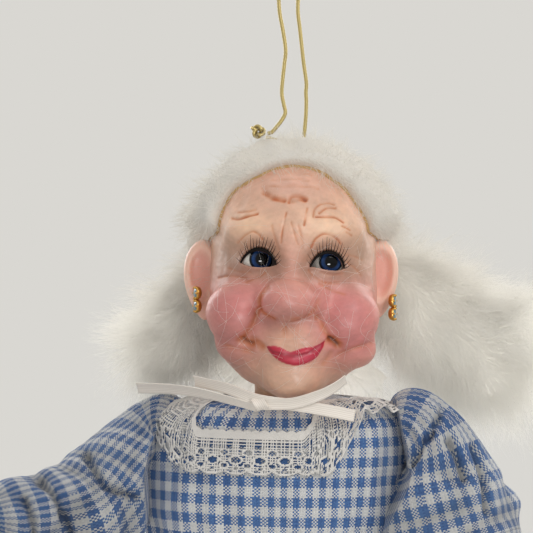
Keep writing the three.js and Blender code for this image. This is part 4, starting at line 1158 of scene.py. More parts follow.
def strands_on(base, name, count, length, lift, spread, wave, wave_size, droop, radius, seed):
    """Mohair on a mass: about how many strands, and their measures in millimetres."""
    return grow(
        strand_tree, base, name, Density=count / area_of(base), Length=length * MM, Lift=lift, Spread=spread,
        Wave=wave * MM, Wave_Size=wave_size * MM, Droop=droop * MM, Radius=radius * MM, Seed=seed,
        Material=mohair,
    )


# %% Crown mass
CROWN_MIDDLE, CROWN_HALF = np.array((0.2, 3.0, -81.2)), np.array((28.4, 27.0, 28.0))
CROWN_ROWS, ROLL_ROWS, CROWN_SIDES = 52, 12, 120
ROLL_OUT, ROLL_LIFT, ROLL_BACK = 1.9, 0.75, 3.0
crown_grid = np.zeros((CROWN_ROWS, CROWN_SIDES, 3))
depth = np.concatenate([np.linspace(0, 1, ROLL_ROWS), np.linspace(1, 2, CROWN_ROWS - ROLL_ROWS + 1)[1:]])
for k, angle in enumerate(np.linspace(-180, 180, CROWN_SIDES, endpoint=False)):
    front_y = float(hair_edge(angle)) - ROLL_OUT
    low = clay_radius(angle, front_y + ROLL_OUT) + ROLL_LIFT
    s, c = sin_cos(angle)
    start = math.asin(np.clip((front_y + ROLL_BACK - CROWN_MIDDLE[1]) / CROWN_HALF[1], -1, 1))
    for i, t in enumerate(depth):
        swing = start + (math.pi / 2 - start) * max(t - 1, 0) * 0.985
        y = CROWN_MIDDLE[1] + CROWN_HALF[1] * math.sin(swing)
        out = CROWN_HALF[0] * math.cos(swing)
        x, z = CROWN_MIDDLE[0] + out * s, CROWN_MIDDLE[2] + out * c * CROWN_HALF[2] / CROWN_HALF[0]
        if t < 1:
            inside = np.array((low * s, front_y + 2.2, CAP_AXIS_Z + low * c))
            x, y, z = inside + (np.array((x, y, z)) - inside) * (1 - math.cos(t * math.pi / 2)) ** 0.8
            y = front_y + ROLL_BACK - 3.6 * math.sin(t * math.pi) ** 0.8 * (0.6 + 0.4 * t) - 0.8 * (1 - t)
        crown_grid[i, k] = (x, y, z)
puff = 0.5 * ripple(crown_grid, 9.0, 41) + 0.3 * ripple(crown_grid, 4.0, 42)
puff *= ease(0.0, 0.3, np.linspace(0, 1, CROWN_ROWS))[:, None]
crown_points, crown_faces = closed_grid(crown_grid + unit(crown_grid - CROWN_MIDDLE) * puff[..., None])
crown = piece("mohair_crown", crown_points, crown_faces, felted["mohair_core"])
fitted(crown, "head", "hair_crown")

# %% Crown strands
away = unit(crown_points - CROWN_MIDDLE)
to_front = ease(-6.5, -11, crown_points[:, 1])
combed = together(0.55 * away[:, 0], 0.75 - 1.35 * to_front, 0.3 * away[:, 2] - 0.25)
store(crown, "flow", "FLOAT_VECTOR", "vector", unit(combed + 0.55 * swirl(crown_points, 11, 51)))
for name, count, length, lift, seed in (
    ("mohair_crown_nap", 5200, 6.0, 0.3, 1), ("mohair_crown_fuzz", 4600, 4.2, 0.75, 2),
):
    strands = strands_on(crown, name, count, length, lift, 0.55, 2.0, 5, 0.3, 0.045, seed)
    fitted(strands, "head")

# %% [markdown]
# The loose hair beside and behind the neck falls on the shoulders, so it bends when the head turns: its top
# follows the head and its lower part stays with the body. Each plume is a chain of soft rings along a path.

# %% Plumes
BEND = ("head", "torso", (0, 0, -0.090), (0, 0, -0.128))
PLUMES = {
    "left": [((20, 14, -84), 6, 5), ((28, 15, -92), 10, 6.5), ((40, 17, -103), 15, 7.5),
             ((51, 18, -109), 14, 7.5), ((59, 19, -112), 10, 6), ((65, 19, -114), 5, 3.5)],
    "right": [((-18, 14, -86), 5, 4.5), ((-24, 15, -95), 8.5, 5.6), ((-31, 15, -104), 9.6, 6),
              ((-38, 15, -108), 7.5, 5), ((-42.5, 15, -109), 4, 3)],
    "back": [((0, 18, -85), 11, 4), ((0, 24.5, -95), 17, 6), ((0, 26, -106), 20.5, 7.2),
             ((0, 26, -118), 22, 7.6), ((0, 25.5, -132), 21.5, 7.4), ((0, 25.5, -144), 17, 6.2),
             ((0, 25.5, -152), 9, 4)],
}


def plume_rings(path, around=40, rows=44):
    table = np.array([[*middle, wide, deep] for middle, wide, deep in path])
    table = resampled(table, rows)
    run = unit(np.gradient(table[:, :3], axis=0))
    deep_way = np.array((0, 1.0, 0))
    wide_way = unit(np.cross(run, deep_way))
    angle = circle(around)
    rings = (
        table[:, None, :3]
        + wide_way[:, None] * (np.cos(angle) * table[:, 3:4])[..., None]
        + deep_way * (np.sin(angle) * table[:, 4:5])[..., None]
    )
    return rings, run


plume_pieces = {}
for side, path in PLUMES.items():
    rings, run = plume_rings(path)
    middle = rings.mean(1, keepdims=True)
    swell = 0.9 + 0.14 * ripple(rings, 14, 61) + 0.07 * ripple(rings, 6, 62)
    rings = middle + (rings - middle) * swell[..., None]
    points, faces = closed_grid(rings)
    plume = piece(f"mohair_{side}", points, faces, felted["mohair_plume_core"])
    flow = np.repeat(run[:, None], rings.shape[1], 1) + 0.5 * unit(rings - middle)
    flow += 0.7 * (swirl(rings, 18, 63) * (1, 0.5, 1))
    flow = np.vstack([unit(flow).reshape(-1, 3), run[:1], run[-1:]])
    store(plume, "flow", "FLOAT_VECTOR", "vector", flow)
    plume_pieces[side] = plume
print("plumes:", *plume_pieces)

# %% Plume strands
PLUME_STRANDS = [
    ("left", "long", 4800, 14.5, 0.35, 3.0, 11), ("left", "loose", 4800, 12, 0.6, 2.6, 12),
    ("left", "haze", 4100, 11, 1.1, 2.4, 16), ("right", "long", 4600, 12, 0.4, 2.8, 13),
    ("right", "haze", 3600, 9, 0.9, 2.2, 14), ("back", "long", 4200, 13, 0.4, 2.4, 15),
]
for side, kind, count, length, lift, wave, seed in PLUME_STRANDS:
    name = f"mohair_{side}_{kind}"
    strands = strands_on(plume_pieces[side], name, count, length, lift, 0.5, wave, 9, 1.2, 0.05, seed)
    fitted(strands, BEND)
for side, plume in plume_pieces.items():
    fitted(plume, BEND, f"hair_{side}")

# %% [markdown]
# ## Stray fibres on the face
# Wool sheds, and in the photograph a web of single fibres lies over cheeks, nose and mouth. Each one is a
# thin tube from one random spot to another, held a little above the clay that rays find under it.

# %% Web of stray fibres
FIBRES, FIBRE_STEPS, FIBRE_RADIUS, FIBRE_LIFT = 84, 18, 0.024, 0.25
draw = np.random.default_rng(77)
web = []
while len(web) < FIBRES:
    px, py = draw.uniform(212, 380), draw.uniform(225, 392)
    swing, reach_px = draw.uniform(0, 2 * math.pi), draw.uniform(18, 60)
    ends = np.array([(px, py), (px + reach_px * math.cos(swing), py + reach_px * math.sin(swing))])
    if not (208 < ends[1, 0] < 384 and 215 < ends[1, 1] < 396):
        continue
    middle = ends.mean(0) + draw.normal(0, 0.22 * reach_px, 2)
    route = resampled([ends[0], middle, ends[1]], FIBRE_STEPS)
    held = np.array([on_face(*spot(*place), FIBRE_LIFT) for place in route])
    arch = np.sin(np.linspace(0, math.pi, FIBRE_STEPS)) * draw.uniform(0.2, 1.0)
    held[:, 1] = np.minimum(held[:, 1], np.linspace(held[0, 1], held[-1, 1], FIBRE_STEPS)) - arch
    web.append(held)
fibres = piece("stray_fibres", *tubes(web, np.full(FIBRE_STEPS, FIBRE_RADIUS), 3), mohair)
fitted(fibres, "head")

# %% [markdown]
# ## Earrings
# Two stones in turned gold cups make each stud. A cup is a lathe profile, the stones are cut with facets,
# and Geometry Nodes sets the small claws round each rim, because they repeat on a circle.

# %% Metal and stones
gold_metal = two_toned(
    "gold_metal", 0.28, (1.6, 0.25), "Value", "#b5813a", "#e2b765", (0.1, 0.0001), Metallic=1.0,
)
rhinestone = two_toned(
    "rhinestone", 0.06, (0.8, 0.3), "Fine", "#33505f", "#9fc0cc", Metallic=0.35, Coat_Weight=1.0,
    Coat_Roughness=0.02,
)
LOBES = {"left": (np.array((25.0, -1.6, -97.2)), 74.0), "right": (np.array((-24.0, -1.8, -95.2)), -74.0)}
CUP_PROFILE = [
    (0.0, 0.55), (0.9, 0.45), (1.5, 0.1), (1.78, -0.5), (1.8, -1.1), (1.62, -1.15),
    (1.55, -0.75), (0.0, -0.7),
]
STONE_PROFILE = [(0.0, -0.72), (1.5, -0.85), (1.52, -1.0), (0.85, -1.42), (0.0, -1.44)]


def lathe(profile, sides):
    """A profile of radius and depth, turned about the Y axis; its ends meet on the axis."""
    radius, depth = np.maximum([r for r, _ in profile], 0.01)[:, None], np.array([[y] for _, y in profile])
    return closed_grid(together(radius * np.sin(circle(sides)), depth, radius * np.cos(circle(sides))))


def turned(points, degrees, place):
    """Points turned about the vertical, then moved to a place."""
    s, c = sin_cos(degrees)
    x, y, z = np.moveaxis(np.asarray(points, float), -1, 0)
    return np.stack([c * x - s * y, s * x + c * y, z], -1) + place


# %% Claw tree
claw_tree, given, out = geometry_tree("ring_of_claws", ("Size", "Float", 0.00035))
add = partial(node, claw_tree)
bead = add("GeometryNodeMeshIcoSphere", {"Radius": given["Size"], "Subdivisions": 2}).outputs[0]
ring_points = add("GeometryNodeMeshToPoints", {"Mesh": given["Geometry"]}).outputs[0]
set_round = add("GeometryNodeInstanceOnPoints", {"Points": ring_points, "Instance": bead}).outputs[0]
hand_out(claw_tree, set_round, given["Material"], out)

# %% Both studs
CUP_PITCH, CUP_DEPTH, CLAWS = 3.4, -0.35, 6
CLAW_RING, CLAW_DEPTH, CLAW_SIZE = 1.58, -1.15, 0.34
for side, (lobe, angle) in LOBES.items():
    cups, rim = [], []
    for name, rise in (("upper", CUP_PITCH / 2), ("lower", -CUP_PITCH / 2)):
        shift = np.array((0, CUP_DEPTH, rise))
        points, faces = lathe(CUP_PROFILE, 24)
        cups.append((turned(points + shift, angle, lobe), faces))
        points, faces = lathe(STONE_PROFILE, 8)
        points = turned(points + shift, angle, lobe)
        stone = piece(f"cut_stone_{side}_{name}", points, faces, rhinestone, smooth=False)
        fitted(stone, "head", f"stone_{side}_{name}")
        for a in np.radians(np.arange(CLAWS) * 360 / CLAWS + 30):
            rim.append((CLAW_RING * math.sin(a), CLAW_DEPTH + CUP_DEPTH, CLAW_RING * math.cos(a) + rise))
    stud = piece(f"gold_stud_{side}", *joined(*cups), gold_metal)
    seats = piece("claw_seats", turned(rim, angle, lobe), [], gold_metal)
    claw = grow(claw_tree, seats, f"gold_claws_{side}", Size=CLAW_SIZE * MM, Material=gold_metal)
    bpy.data.objects.remove(seats)
    fitted(stud, "head", f"earring_{side}")
    fitted(claw, "head")

# %% [markdown]
# ## Gingham blouse
# The dress is cotton gingham, 3.4 by 5.0 mm to a check. The bodice wraps the stuffed body with a little
# slack, and its folds are moved in code along the surface, where a cloth run would cost minutes for creases
# of half a millimetre. All dress shapes are drawn in the body's own frame, then turned with the body.

# %% Gingham finish
gingham, tree, surface = new_finish("gingham", 0.85, Sheen_Weight=0.12, Sheen_Roughness=0.5)
check = node(tree, "ShaderNodeGroup", {"Place": uv_place(tree)}, node_tree=weave).outputs
blue = between(tree, check["Tone"], "#3a609c", "#5580bb")
white = between(tree, check["Tone"], "#d4d6d8", "#ebeceb")
yarns = between(tree, check["Blue"], white, blue)
worn = mottled(tree, 9.0, 1.2)
# Uneven wear from the mottle, times painted shade that the sleeves store as fold_shade
wear_and_painted_shade = node(tree, "ShaderNodeMapRange", {"Value": worn["Value"], "To Min": 0.88, "To Max": 1.06}).outputs[0]
fold_shade = node(tree, "ShaderNodeAttribute", attribute_name="fold_shade").outputs["Fac"]
wear_and_painted_shade = sums(tree, "MULTIPLY", wear_and_painted_shade, sums(tree, "SUBTRACT", 1.0, fold_shade))
coat(surface, between(tree, 1.0, yarns, wear_and_painted_shade, "MULTIPLY"), check["Height"], (0.55, 0.00018))

# %% The body's frame and rings
DRESS_TURN, DRESS_PLACE = -15.0, np.array((-2.0, 4.0, 0.0))
BODY_RINGS = np.array([
    (-120.8, 8.4, 8.4), (-121.5, 15.5, 10.23), (-123.4, 24.18, 12.4), (-126.8, 29.45, 14.415),
    (-131.9, 31, 15.5), (-141.9, 30.5, 16.28), (-153.6, 29.45, 16.43), (-167.6, 26.66, 15.5),
    (-179.3, 23, 14), (-190.2, 24.25, 15), (-201, 25.5, 16), (-209.8, 23.97, 14.4),
])
SLACK = np.array((0, 0, 1.0, 4.0, 6.2, 7.3, 8.2, 6.5, 0, 0, 0, 0))
CLOTH_LIFT, NECK_DROP = 1.35, 0.7


def dress(points):
    return turned(points, DRESS_TURN, DRESS_PLACE)


def on_body(place, angle, lift, slack=0.0):
    """Points on the body's rings: a place along them, an angle from the front and a lift off the body."""
    place, angle = np.broadcast_arrays(place, angle)
    table = smooth_rows(np.hstack([BODY_RINGS, SLACK[:, None]]), place.ravel()).reshape(*place.shape, 4)
    wide = table[..., 1] + lift + np.where(np.sin(angle) < 0, table[..., 3] * slack, 0)
    deep = table[..., 2] + lift
    height = table[..., 0] + lift * 0.9 - NECK_DROP * ease(2.2, 1.0, place)
    return ovals(wide, deep, height, angle)


def cloth(name, grid, uv, material, thickness=0.5):
    """A tube of cloth from a grid of rows, given its thickness by a Solidify modifier."""
    normal = np.cross(np.gradient(grid, axis=1), np.gradient(grid, axis=0))
    inward = (normal * (grid - grid.mean(1)[:, None])).sum() <= 0
    faces = grid_faces(*grid.shape[:2], True)
    made = piece(name, grid, faces[:, ::-1] if inward else faces, material, grid_uv(uv, inward))
    solidify(made, thickness, -1.0)
    print(name, "area in mm2:", round(area_of(made) * 1e6))
    return made


def bend_along(grid, amount, closed=True):
    """Moves a grid along its own normals by an amount in millimetres, outwards from each row's middle."""
    step = np.roll(grid, -1, 1) - np.roll(grid, 1, 1) if closed else np.gradient(grid, axis=1)
    normal = unit(np.cross(step, np.gradient(grid, axis=0)))
    sign = np.sign((normal * (grid - grid.mean(1, keepdims=True))).sum(-1, keepdims=True))
    return grid + normal * np.where(sign == 0, 1, sign) * amount[..., None]


# %% Bodice
BODICE_AROUND, BODICE_ROWS = 204, 78
around = circle(BODICE_AROUND) - math.pi
down = np.linspace(0.35, 8.0, BODICE_ROWS)
bodice_grid = on_body(down[:, None], around[None], CLOTH_LIFT, 1.0)
drape = 0.42 * ripple(bodice_grid * (1.3, 1.0, 0.35), 11, 81) + 0.16 * ripple(bodice_grid, 6, 82)
gathers = 0.5 * np.cos(38 * around)[None] * ease(6.4, 8.0, down)[:, None]
bodice_grid = bend_along(bodice_grid, (drape - 0.15) * ease(0.6, 2.5, down)[:, None] + gathers)
fall_mm = travelled(bodice_grid[:, BODICE_AROUND // 2])
chest = on_body(np.full(BODICE_AROUND + 1, 4.4), np.append(around, math.pi), CLOTH_LIFT)
ring_mm = travelled(chest)
bodice_uv = together(ring_mm - ring_mm[-1] / 2, -fall_mm[:, None])
bodice_world = dress(bodice_grid)
bodice = cloth("gingham_bodice", bodice_world, bodice_uv, gingham)
fitted(bodice, "torso", "bodice")

# %% [markdown]
# Each sleeve is a wide tube, gathered into the armhole and puffed to the elbow, and drawn in at the wrist.
# Upper and lower halves share the ring at the elbow.

# %% Arms and sleeve sizes
UPPER_ARM, FOREARM = 32.0, 30.0
SHOULDERS = {side: np.array((36.0 * out, 0, -128)) for side, out in SIDES.items()}
ARM_RUNS = {
    "left": (unit((7.9, -1.7, -32)), unit((13.7, -4.6, -26))),
    "right": (unit((-14.0, -21, -18)), unit((-22.2, -19, -4.2))),
}
SLEEVE_AROUND, SLEEVE_STEP, SLEEVE_GIRTH, SLEEVE_LEAST = 176, 15, 108, 3.9
SAG = {
    "left": (0, 0, 0.05, 0.05, 0.05, 0.05, 0.05, 0, 0, 0),
    "right": (0.1, 0.24, 0.38, 0.5, 0.5, 0.4, 0.25, 0.15, 0, 0),
}
FULLNESS = {"left": 3.2, "right": -0.5}
FOLD_SEEDS = {"left": 91, "right": 95}
FORWARD, UPWARD = np.array((0, -1, 0.25)), np.array((0, 0, 1.0))


# %% Sleeve rings


def sleeve_grid(side):
    """One sleeve from armhole to cuff: points, UV, heights of the folds, then the elbow and the shoulder."""
    upper, fore = ARM_RUNS[side]
    shoulder = SHOULDERS[side]
    elbow = shoulder + UPPER_ARM * upper
    outward = np.array((np.sign(shoulder[0]), 0, 0))
    mitre = unit(upper + fore)
    stations = [
        (shoulder - 12.5 * outward - (0, 0, 3.2), outward, 5.6), (shoulder - 4.0 * outward, outward, 9.3),
        (shoulder + 3.2 * upper, unit(outward + upper), 11.3),
        (shoulder + 10.9 * upper, upper, 14.4), (shoulder + 19.8 * upper, upper, 16.6), (elbow, mitre, 17.6),
        (elbow + 9 * fore, fore, 13.2), (elbow + 18.6 * fore, fore, 9.6), (elbow + 24.6 * fore, fore, 4.9),
        (elbow + 28.8 * fore, fore, 6.6),
    ]
    table = np.array([[*middle, *normal, radius] for middle, normal, radius in stations])
    rows = resampled(table, 9 * SLEEVE_STEP + 1)
    n = unit(rows[:, 3:6])
    front = unit(FORWARD - n * (n @ FORWARD)[:, None])
    angle = circle(SLEEVE_AROUND)
    gone = travelled(rows[:, :3])
    place = np.arange(len(rows)) / SLEEVE_STEP - 1
    gather = 0.05 * ease(2.6, 0.4, place) + 0.07 * ease(5.6, 7.4, place)
    seed = FOLD_SEEDS[side]
    field = together(9 * np.cos(angle), 9 * np.sin(angle), 0.8 * gone[:, None])
    loose = (ease(0.8, 3.0, place) * ease(7.2, 5.0, place))[:, None]
    crease = np.abs(ripple(field, 17, seed)) - 0.7
    folds = (1.25 * crease + 0.55 * ripple(field, 9, seed + 1)) * loose + 0.16 * ripple(field, 4.5, seed + 2)
    radius = rows[:, 6:7] * (1 + gather[:, None] * np.cos(14 * angle + 0.6 * np.sin(3 * angle)))
    radius = np.maximum(radius + folds + FULLNESS[side] * loose, SLEEVE_LEAST)
    grid = rows[:, None, :3] + radius[..., None] * hoop(front, np.cross(n, front), angle)
    high = unit(UPWARD - n * n[:, 2:3])[:, None]
    above = ((grid - rows[:, None, :3]) * high).sum(-1)
    sag = np.interp(place, np.arange(-1, 9), SAG[side])[:, None]
    grid -= high * (np.where(above > 0, sag, -0.3 * sag) * above)[..., None]
    grid[..., 2] -= 0.9 * loose
    uv = together(np.linspace(0, 1, SLEEVE_AROUND + 1) * SLEEVE_GIRTH, gone[:, None])
    return dress(grid), uv, folds, dress(elbow), dress(shoulder)


# %% Armholes and creases
ARMHOLES = {
    "left": np.array([
        (-120, 26.0), (-128, 27.6), (-134, 28.8), (-138.6, 29.2), (-142.2, 28.0), (-146.2, 25.9),
        (-150.6, 23.7), (-156, 22.7), (-175, 22.0),
    ]),
    "right": np.array([
        (-122, -30.5), (-127, -34.4), (-133, -37.0), (-140, -38.3), (-148, -38.0), (-175, -38.0),
    ]),
}
# Painted shade over each whole sleeve, as a share of darkening; creases and fold valleys add more below
SLEEVE_PAINTED_SHADE = {"left": 0.25, "right": 0.29}
CREASES = {
    "left": [
        ((441, 412), (432, 430), (422, 446), (410, 464)), ((449, 440), (458, 458), (464, 478)),
        ((474, 446), (484, 478), (488, 512)),
    ],
    "right": [
        ((86, 455), (101, 481), (109, 487.5), (139, 499)), ((40, 482), (55, 495.5), (64, 518.5), (72, 540)),
        ((23, 499), (31, 516), (35, 540)),
    ],
}
CREASE_PIXELS, CREASE_DEPTH, ELBOW_ROW = 3.6, 1.9, 5 * SLEEVE_STEP

# %% Both sleeves
for side, out in SIDES.items():
    grid, uv, folds, elbow, shoulder = sleeve_grid(side)
    seen_at = pixel_of(grid)
    facing = ease(3, -3, grid[..., 1] - grid[..., 1].mean(1, keepdims=True))
    pressed = np.zeros(grid.shape[:2])
    for crease in CREASES[side]:
        pressed = np.maximum(pressed, bell(stroke_gap(seen_at, crease), CREASE_PIXELS) * facing)
    grid = bend_along(grid, -CREASE_DEPTH * pressed)
    edge_x = np.interp(-grid[..., 2], -ARMHOLES[side][:, 0], ARMHOLES[side][:, 1])
    held = facing if side == "left" else ease(1.2, 2.2, np.arange(len(grid)) / SLEEVE_STEP)[:, None]
    grid[..., 0] += 0.96 * out * held * np.maximum(out * (edge_x - grid[..., 0]), 0)
    # Painted shade on the sleeves: darker all over, and more in the pressed creases and the valleys of the
    # folds
    sleeve_painted_shade = np.clip(SLEEVE_PAINTED_SHADE[side] + 0.4 * pressed + 0.22 * ease(0.3, -1.3, folds), 0, 0.7)
    upper, fore = (dress(run) - dress(np.zeros(3)) for run in ARM_RUNS[side])
    mitre = unit(upper + fore)
    high_rows, low_rows = slice(None, ELBOW_ROW + 1), slice(ELBOW_ROW, None)
    high = cloth(f"gingham_upper_sleeve_{side}", grid[high_rows], uv[high_rows], gingham)
    low = cloth(f"gingham_lower_sleeve_{side}", grid[low_rows], uv[low_rows], gingham)
    arm, forearm = f"upper_arm_{side}", f"forearm_{side}"
    at_shoulder = ("torso", arm, metres(shoulder - 3 * upper), metres(shoulder + 12 * upper))
    at_elbow = (arm, forearm, metres(elbow + 2.2 * mitre), metres(elbow + 12.5 * mitre))
    fitted(high, at_shoulder, f"upper_sleeve_{side}")
    fitted(low, at_elbow, f"lower_sleeve_{side}")
    store(high, "fold_shade", "FLOAT", "value", sleeve_painted_shade[high_rows])
    store(low, "fold_shade", "FLOAT", "value", sleeve_painted_shade[low_rows])

# %% [markdown]
# ## Lace collar
# The collar is machine lace: a woven tape at the neck, a net with oval eyes, and fans that end in scallops.
# A fine net of points is laid over the bodice, and a pattern in the lace's own length and width decides
# where thread lies. Faces without thread are left out, so the blouse shows through real holes.

# %% Lace finish and pattern
lace_finish = two_toned(
    "lace_thread", 0.8, (2.0, 0.16), "Fine", "#dcd8d2", "#f7f5f1", (0.6, 0.0002), Sheen_Weight=0.2,
)
FAN, TAPE, MESH, NET_THREAD = 6.6, 2.3, 0.72, 0.24
OVALS = ((0.0, 5.6, 1.35, 0.8), (0.5, 3.7, 1.7, 1.0), (0.0, 2.3, 1.15, 0.75), (0.5, 1.6, 0.8, 0.5))


def lace_thread(along, inner, outer):
    """Whether thread lies at a place, in mm: along the lace, from its inner and from its outer edge."""
    phase = (along / FAN) % 1.0 - 0.5
    scallop = 1.25 * (1 - np.sqrt(np.maximum(1 - (2 * phase) ** 2, 0)))
    tape = (inner < TAPE) & (inner > 0.5 - 0.5 * np.abs(np.cos(math.pi * along / 2.4)))
    net = ((along % MESH) < NET_THREAD) | ((inner % MESH) < NET_THREAD)
    holes = np.zeros(along.shape, bool)
    cords = np.zeros(along.shape, bool)
    for start, level, half_wide, half_high in OVALS:
        off = ((along / FAN - start + 0.5) % 1.0 - 0.5) * FAN
        oval = np.hypot(off / half_wide, (outer - level) / half_high)
        holes |= oval < 0.8
        cords |= (oval >= 0.8) & (oval < 1.22)
    rim = outer < scallop + 0.55
    seam = np.abs(inner - TAPE - 0.5) < 0.14
    inside = (outer >= scallop) & (inner >= 0)
    return inside & (tape | rim | seam | ((cords | (net & ~holes)) & (inner >= TAPE)))


# %% Collar on the blouse
LACE_ALONG, LACE_ACROSS, LACE_CLEAR, LACE_THICK = 760, 46, 0.42, 0.14
lace_angle = np.linspace(-math.pi, math.pi, LACE_ALONG)
turned_by = np.degrees(lace_angle)
lace_in = 1.25 + 2.45 * ease(38, 22, np.abs(turned_by + 7))
lace_out = np.where(
    turned_by > 0,
    2.5 + 0.8 * ease(86, 70, turned_by) + 1.65 * ease(52, 26, turned_by),
    2.3 + 0.9 * ease(-96, -76, turned_by) + 1.75 * ease(-86, -30, turned_by),
)
share = np.linspace(0, 1, LACE_ACROSS)[:, None]
places = lace_in[None] + (lace_out - lace_in)[None] * share
lace_grid = on_body(places, lace_angle[None], CLOTH_LIFT + 0.55, 1.0)
lace_grid = bend_along(lace_grid, 0.45 * ripple(lace_grid, 7, 101) * share + 0.35 * share, False)
standing = ease(32, 46, turned_by) * ease(88, 62, turned_by)
flutter = 1 + 0.25 * np.sin(lace_angle * 26)
lace_grid += np.array((1.6, -2.8, 3.6)) * (standing * flutter * share)[..., None]
bodice_faces = [tuple(face.vertices) for face in bodice.data.polygons]
bodice_tree = BVHTree.FromPolygons(metres(bodice_world.reshape(-1, 3)), bodice_faces)
lace_world = dress(lace_grid).reshape(-1, 3)
for i, point in enumerate(lace_world):
    hit, normal, _, _ = bodice_tree.find_nearest(Vector(point) * MM)
    gap = (Vector(point) * MM - hit).dot(normal) / MM
    if gap < LACE_CLEAR:
        lace_world[i] = point + np.array(normal) * (LACE_CLEAR - gap)

# %% Thread of the collar
lace_mm = travelled(lace_grid[LACE_ACROSS // 2])
steps_mm = np.linalg.norm(np.diff(lace_grid, axis=0), axis=2)
across_mm = np.vstack([np.zeros(LACE_ALONG), np.cumsum(steps_mm, axis=0)])
inner = (across_mm[:-1, :-1] + across_mm[1:, 1:]) / 2
outer = across_mm[-1, :-1] - inner
along = np.broadcast_to((lace_mm[:-1] + lace_mm[1:]) / 2, inner.shape)
lace_faces = grid_faces(LACE_ACROSS, LACE_ALONG, False)
kept = lace_faces[lace_thread(along, inner, outer).ravel()]
used = np.unique(kept)
lookup = np.full(LACE_ACROSS * LACE_ALONG, -1)
lookup[used] = np.arange(len(used))
lace_points, lace_faces = lace_world[used], lookup[kept]
a, b, c = (lace_points[lace_faces[:, corner]] for corner in range(3))
if (np.cross(b - a, c - a) * (a - lace_points.mean(0))).sum() < 0:
    lace_faces = lace_faces[:, ::-1]
collar = piece("lace_collar_net", lace_points, lace_faces, lace_finish)
solidify(collar, LACE_THICK)
fitted(collar, "torso", "lace_collar")
print("lace length in mm:", round(lace_mm[-1], 1))

# %% [markdown]
# ## Satin ribbon
# A narrow ribbon is tied under the chin in a flat bow with long ends. Each length is a strip along a path,
# three millimetres wide, that twists a little. Fine ribs along it are a bump, and their tops are painted a
# little lighter: a painted sheen for the satin's dull and bright bands.

# %% Ribbon finish
satin, tree, surface = new_finish("satin_ribbon", 0.42, Sheen_Weight=0.3)
weft = sums(tree, "SINE", sums(tree, "MULTIPLY", axes(tree, uv_place(tree))[1], 13.0))
rib_and_painted_sheen = node(tree, "ShaderNodeMapRange", {"Value": weft, "From Min": -1.0}).outputs[0]
# Rib tops are painted lighter than the valleys: a painted sheen
coat(surface, between(tree, rib_and_painted_sheen, "#ebe1d7", "#fbf4ea"), rib_and_painted_sheen, (0.3, 0.00008))

# %% Ribbon strips
RIBBON_WIDTH, RIBBON_COLUMNS, RIBBON_THICK = 3.0, 9, 0.24
STRIPS = [
    ([(137, 388, 3), (168, 389, -3), (200, 393, -10), (232, 401, -15.2), (256, 408, -17.2)], (0.1, 0.5)),
    ([(194, 381, -8.2), (228, 389, -15.7), (258, 400, -18.4), (300, 406, -18.6), (330, 411, -18.4),
      (355, 416, -17.6)], (0.1, -0.35)),
    ([(262, 404, -18.4), (292, 403.5, -19.2), (318, 396, -19.8), (334, 388, -19.2), (346, 379, -17.8)],
     (-0.2, 0.25)),
    ([(255, 398, -17.8), (258, 401, -18.9), (261, 406, -19.0), (263, 410, -18.2)], (0.0, 0.0)),
]
across = np.linspace(-0.5, 0.5, RIBBON_COLUMNS) * RIBBON_WIDTH
cup = 0.22 * (1 - (2 * across / RIBBON_WIDTH) ** 2)
strips, corners, ribbon_length = [], [], 0.0
for pixels, twist in STRIPS:
    path, length = even_path(np.array([at_depth(*pixel) for pixel in pixels]), 0.45)
    ribbon_length += length
    run = unit(np.gradient(path, axis=0))
    roll = np.linspace(*twist, len(path))[:, None]
    upright = abs(path[-1][2] - path[0][2]) > abs(path[-1][0] - path[0][0])
    level = np.array((1.0, 0, 0) if upright else (0, -0.35, 1.0))
    flat_way = unit(np.cross(run, np.cross(level, run)))
    flat_way = flat_way * np.cos(roll) + np.cross(run, flat_way) * np.sin(roll)
    raised = np.cross(flat_way, run)[:, None] * cup[None, :, None]
    strips.append((
        path[:, None] + flat_way[:, None] * across[None, :, None] + raised,
        grid_faces(len(path), RIBBON_COLUMNS, False).tolist(),
    ))
    corners.append(grid_uv(together(
        np.linspace(0, length, len(path))[:, None], np.linspace(0, RIBBON_WIDTH, RIBBON_COLUMNS),
    )))
ribbon = piece("satin_bow", *joined(*strips), satin, np.vstack(corners))
solidify(ribbon, RIBBON_THICK)
fitted(ribbon, "torso", "neck_ribbon")
print("ribbon length mm:", round(ribbon_length, 1))

# %% [markdown]
# ## Skirt
# Below the picture's edge the dress goes on as a gathered skirt, a guess from dolls of this kind. Twelve
# folds grow from the waist to the hem. The hem is turned up and sewn, and its stitches repeat along a path,
# so Geometry Nodes lays them.

# %% Skirt sheet
SKIRT_TOP, SKIRT_LENGTH, SKIRT_AROUND, SKIRT_ROWS = -177.9, 67.75, 264, 60
SKIRT_PROFILE = [
    (0, 25.3, 16.3, 0), (0.025, 25.5, 16.5, 0.01), (0.07, 27.5, 18.5, 0.03), (0.18, 31.4, 22.6, 0.045),
    (0.38, 37.2, 29.65, 0.045), (0.6, 41.5, 33.9, 0.05), (0.82, 44.8, 36.8, 0.06), (1, 46.5, 38.5, 0.065),
]
turn_a = circle(SKIRT_AROUND)
skirt_rows = resampled(SKIRT_PROFILE, SKIRT_ROWS)
down, wide, deep, depth = (skirt_rows[:, column : column + 1] for column in range(4))
fold = 1 + depth * np.cos(12 * turn_a + 0.5 * np.sin(2 * turn_a + 0.9 * down))
skirt_grid = ovals(wide * fold, deep * fold, SKIRT_TOP - SKIRT_LENGTH * down, turn_a)
creases = 0.25 * ripple(skirt_grid * (1, 1, 0.4), 8, 111) * ease(0.05, 0.4, down)
skirt_grid = bend_along(skirt_grid, creases)
fall_mm = travelled(skirt_grid[:, 0])
hem_mm = np.linalg.norm(np.diff(np.vstack([skirt_grid[-1], skirt_grid[-1, :1]]), axis=0), axis=1).sum()
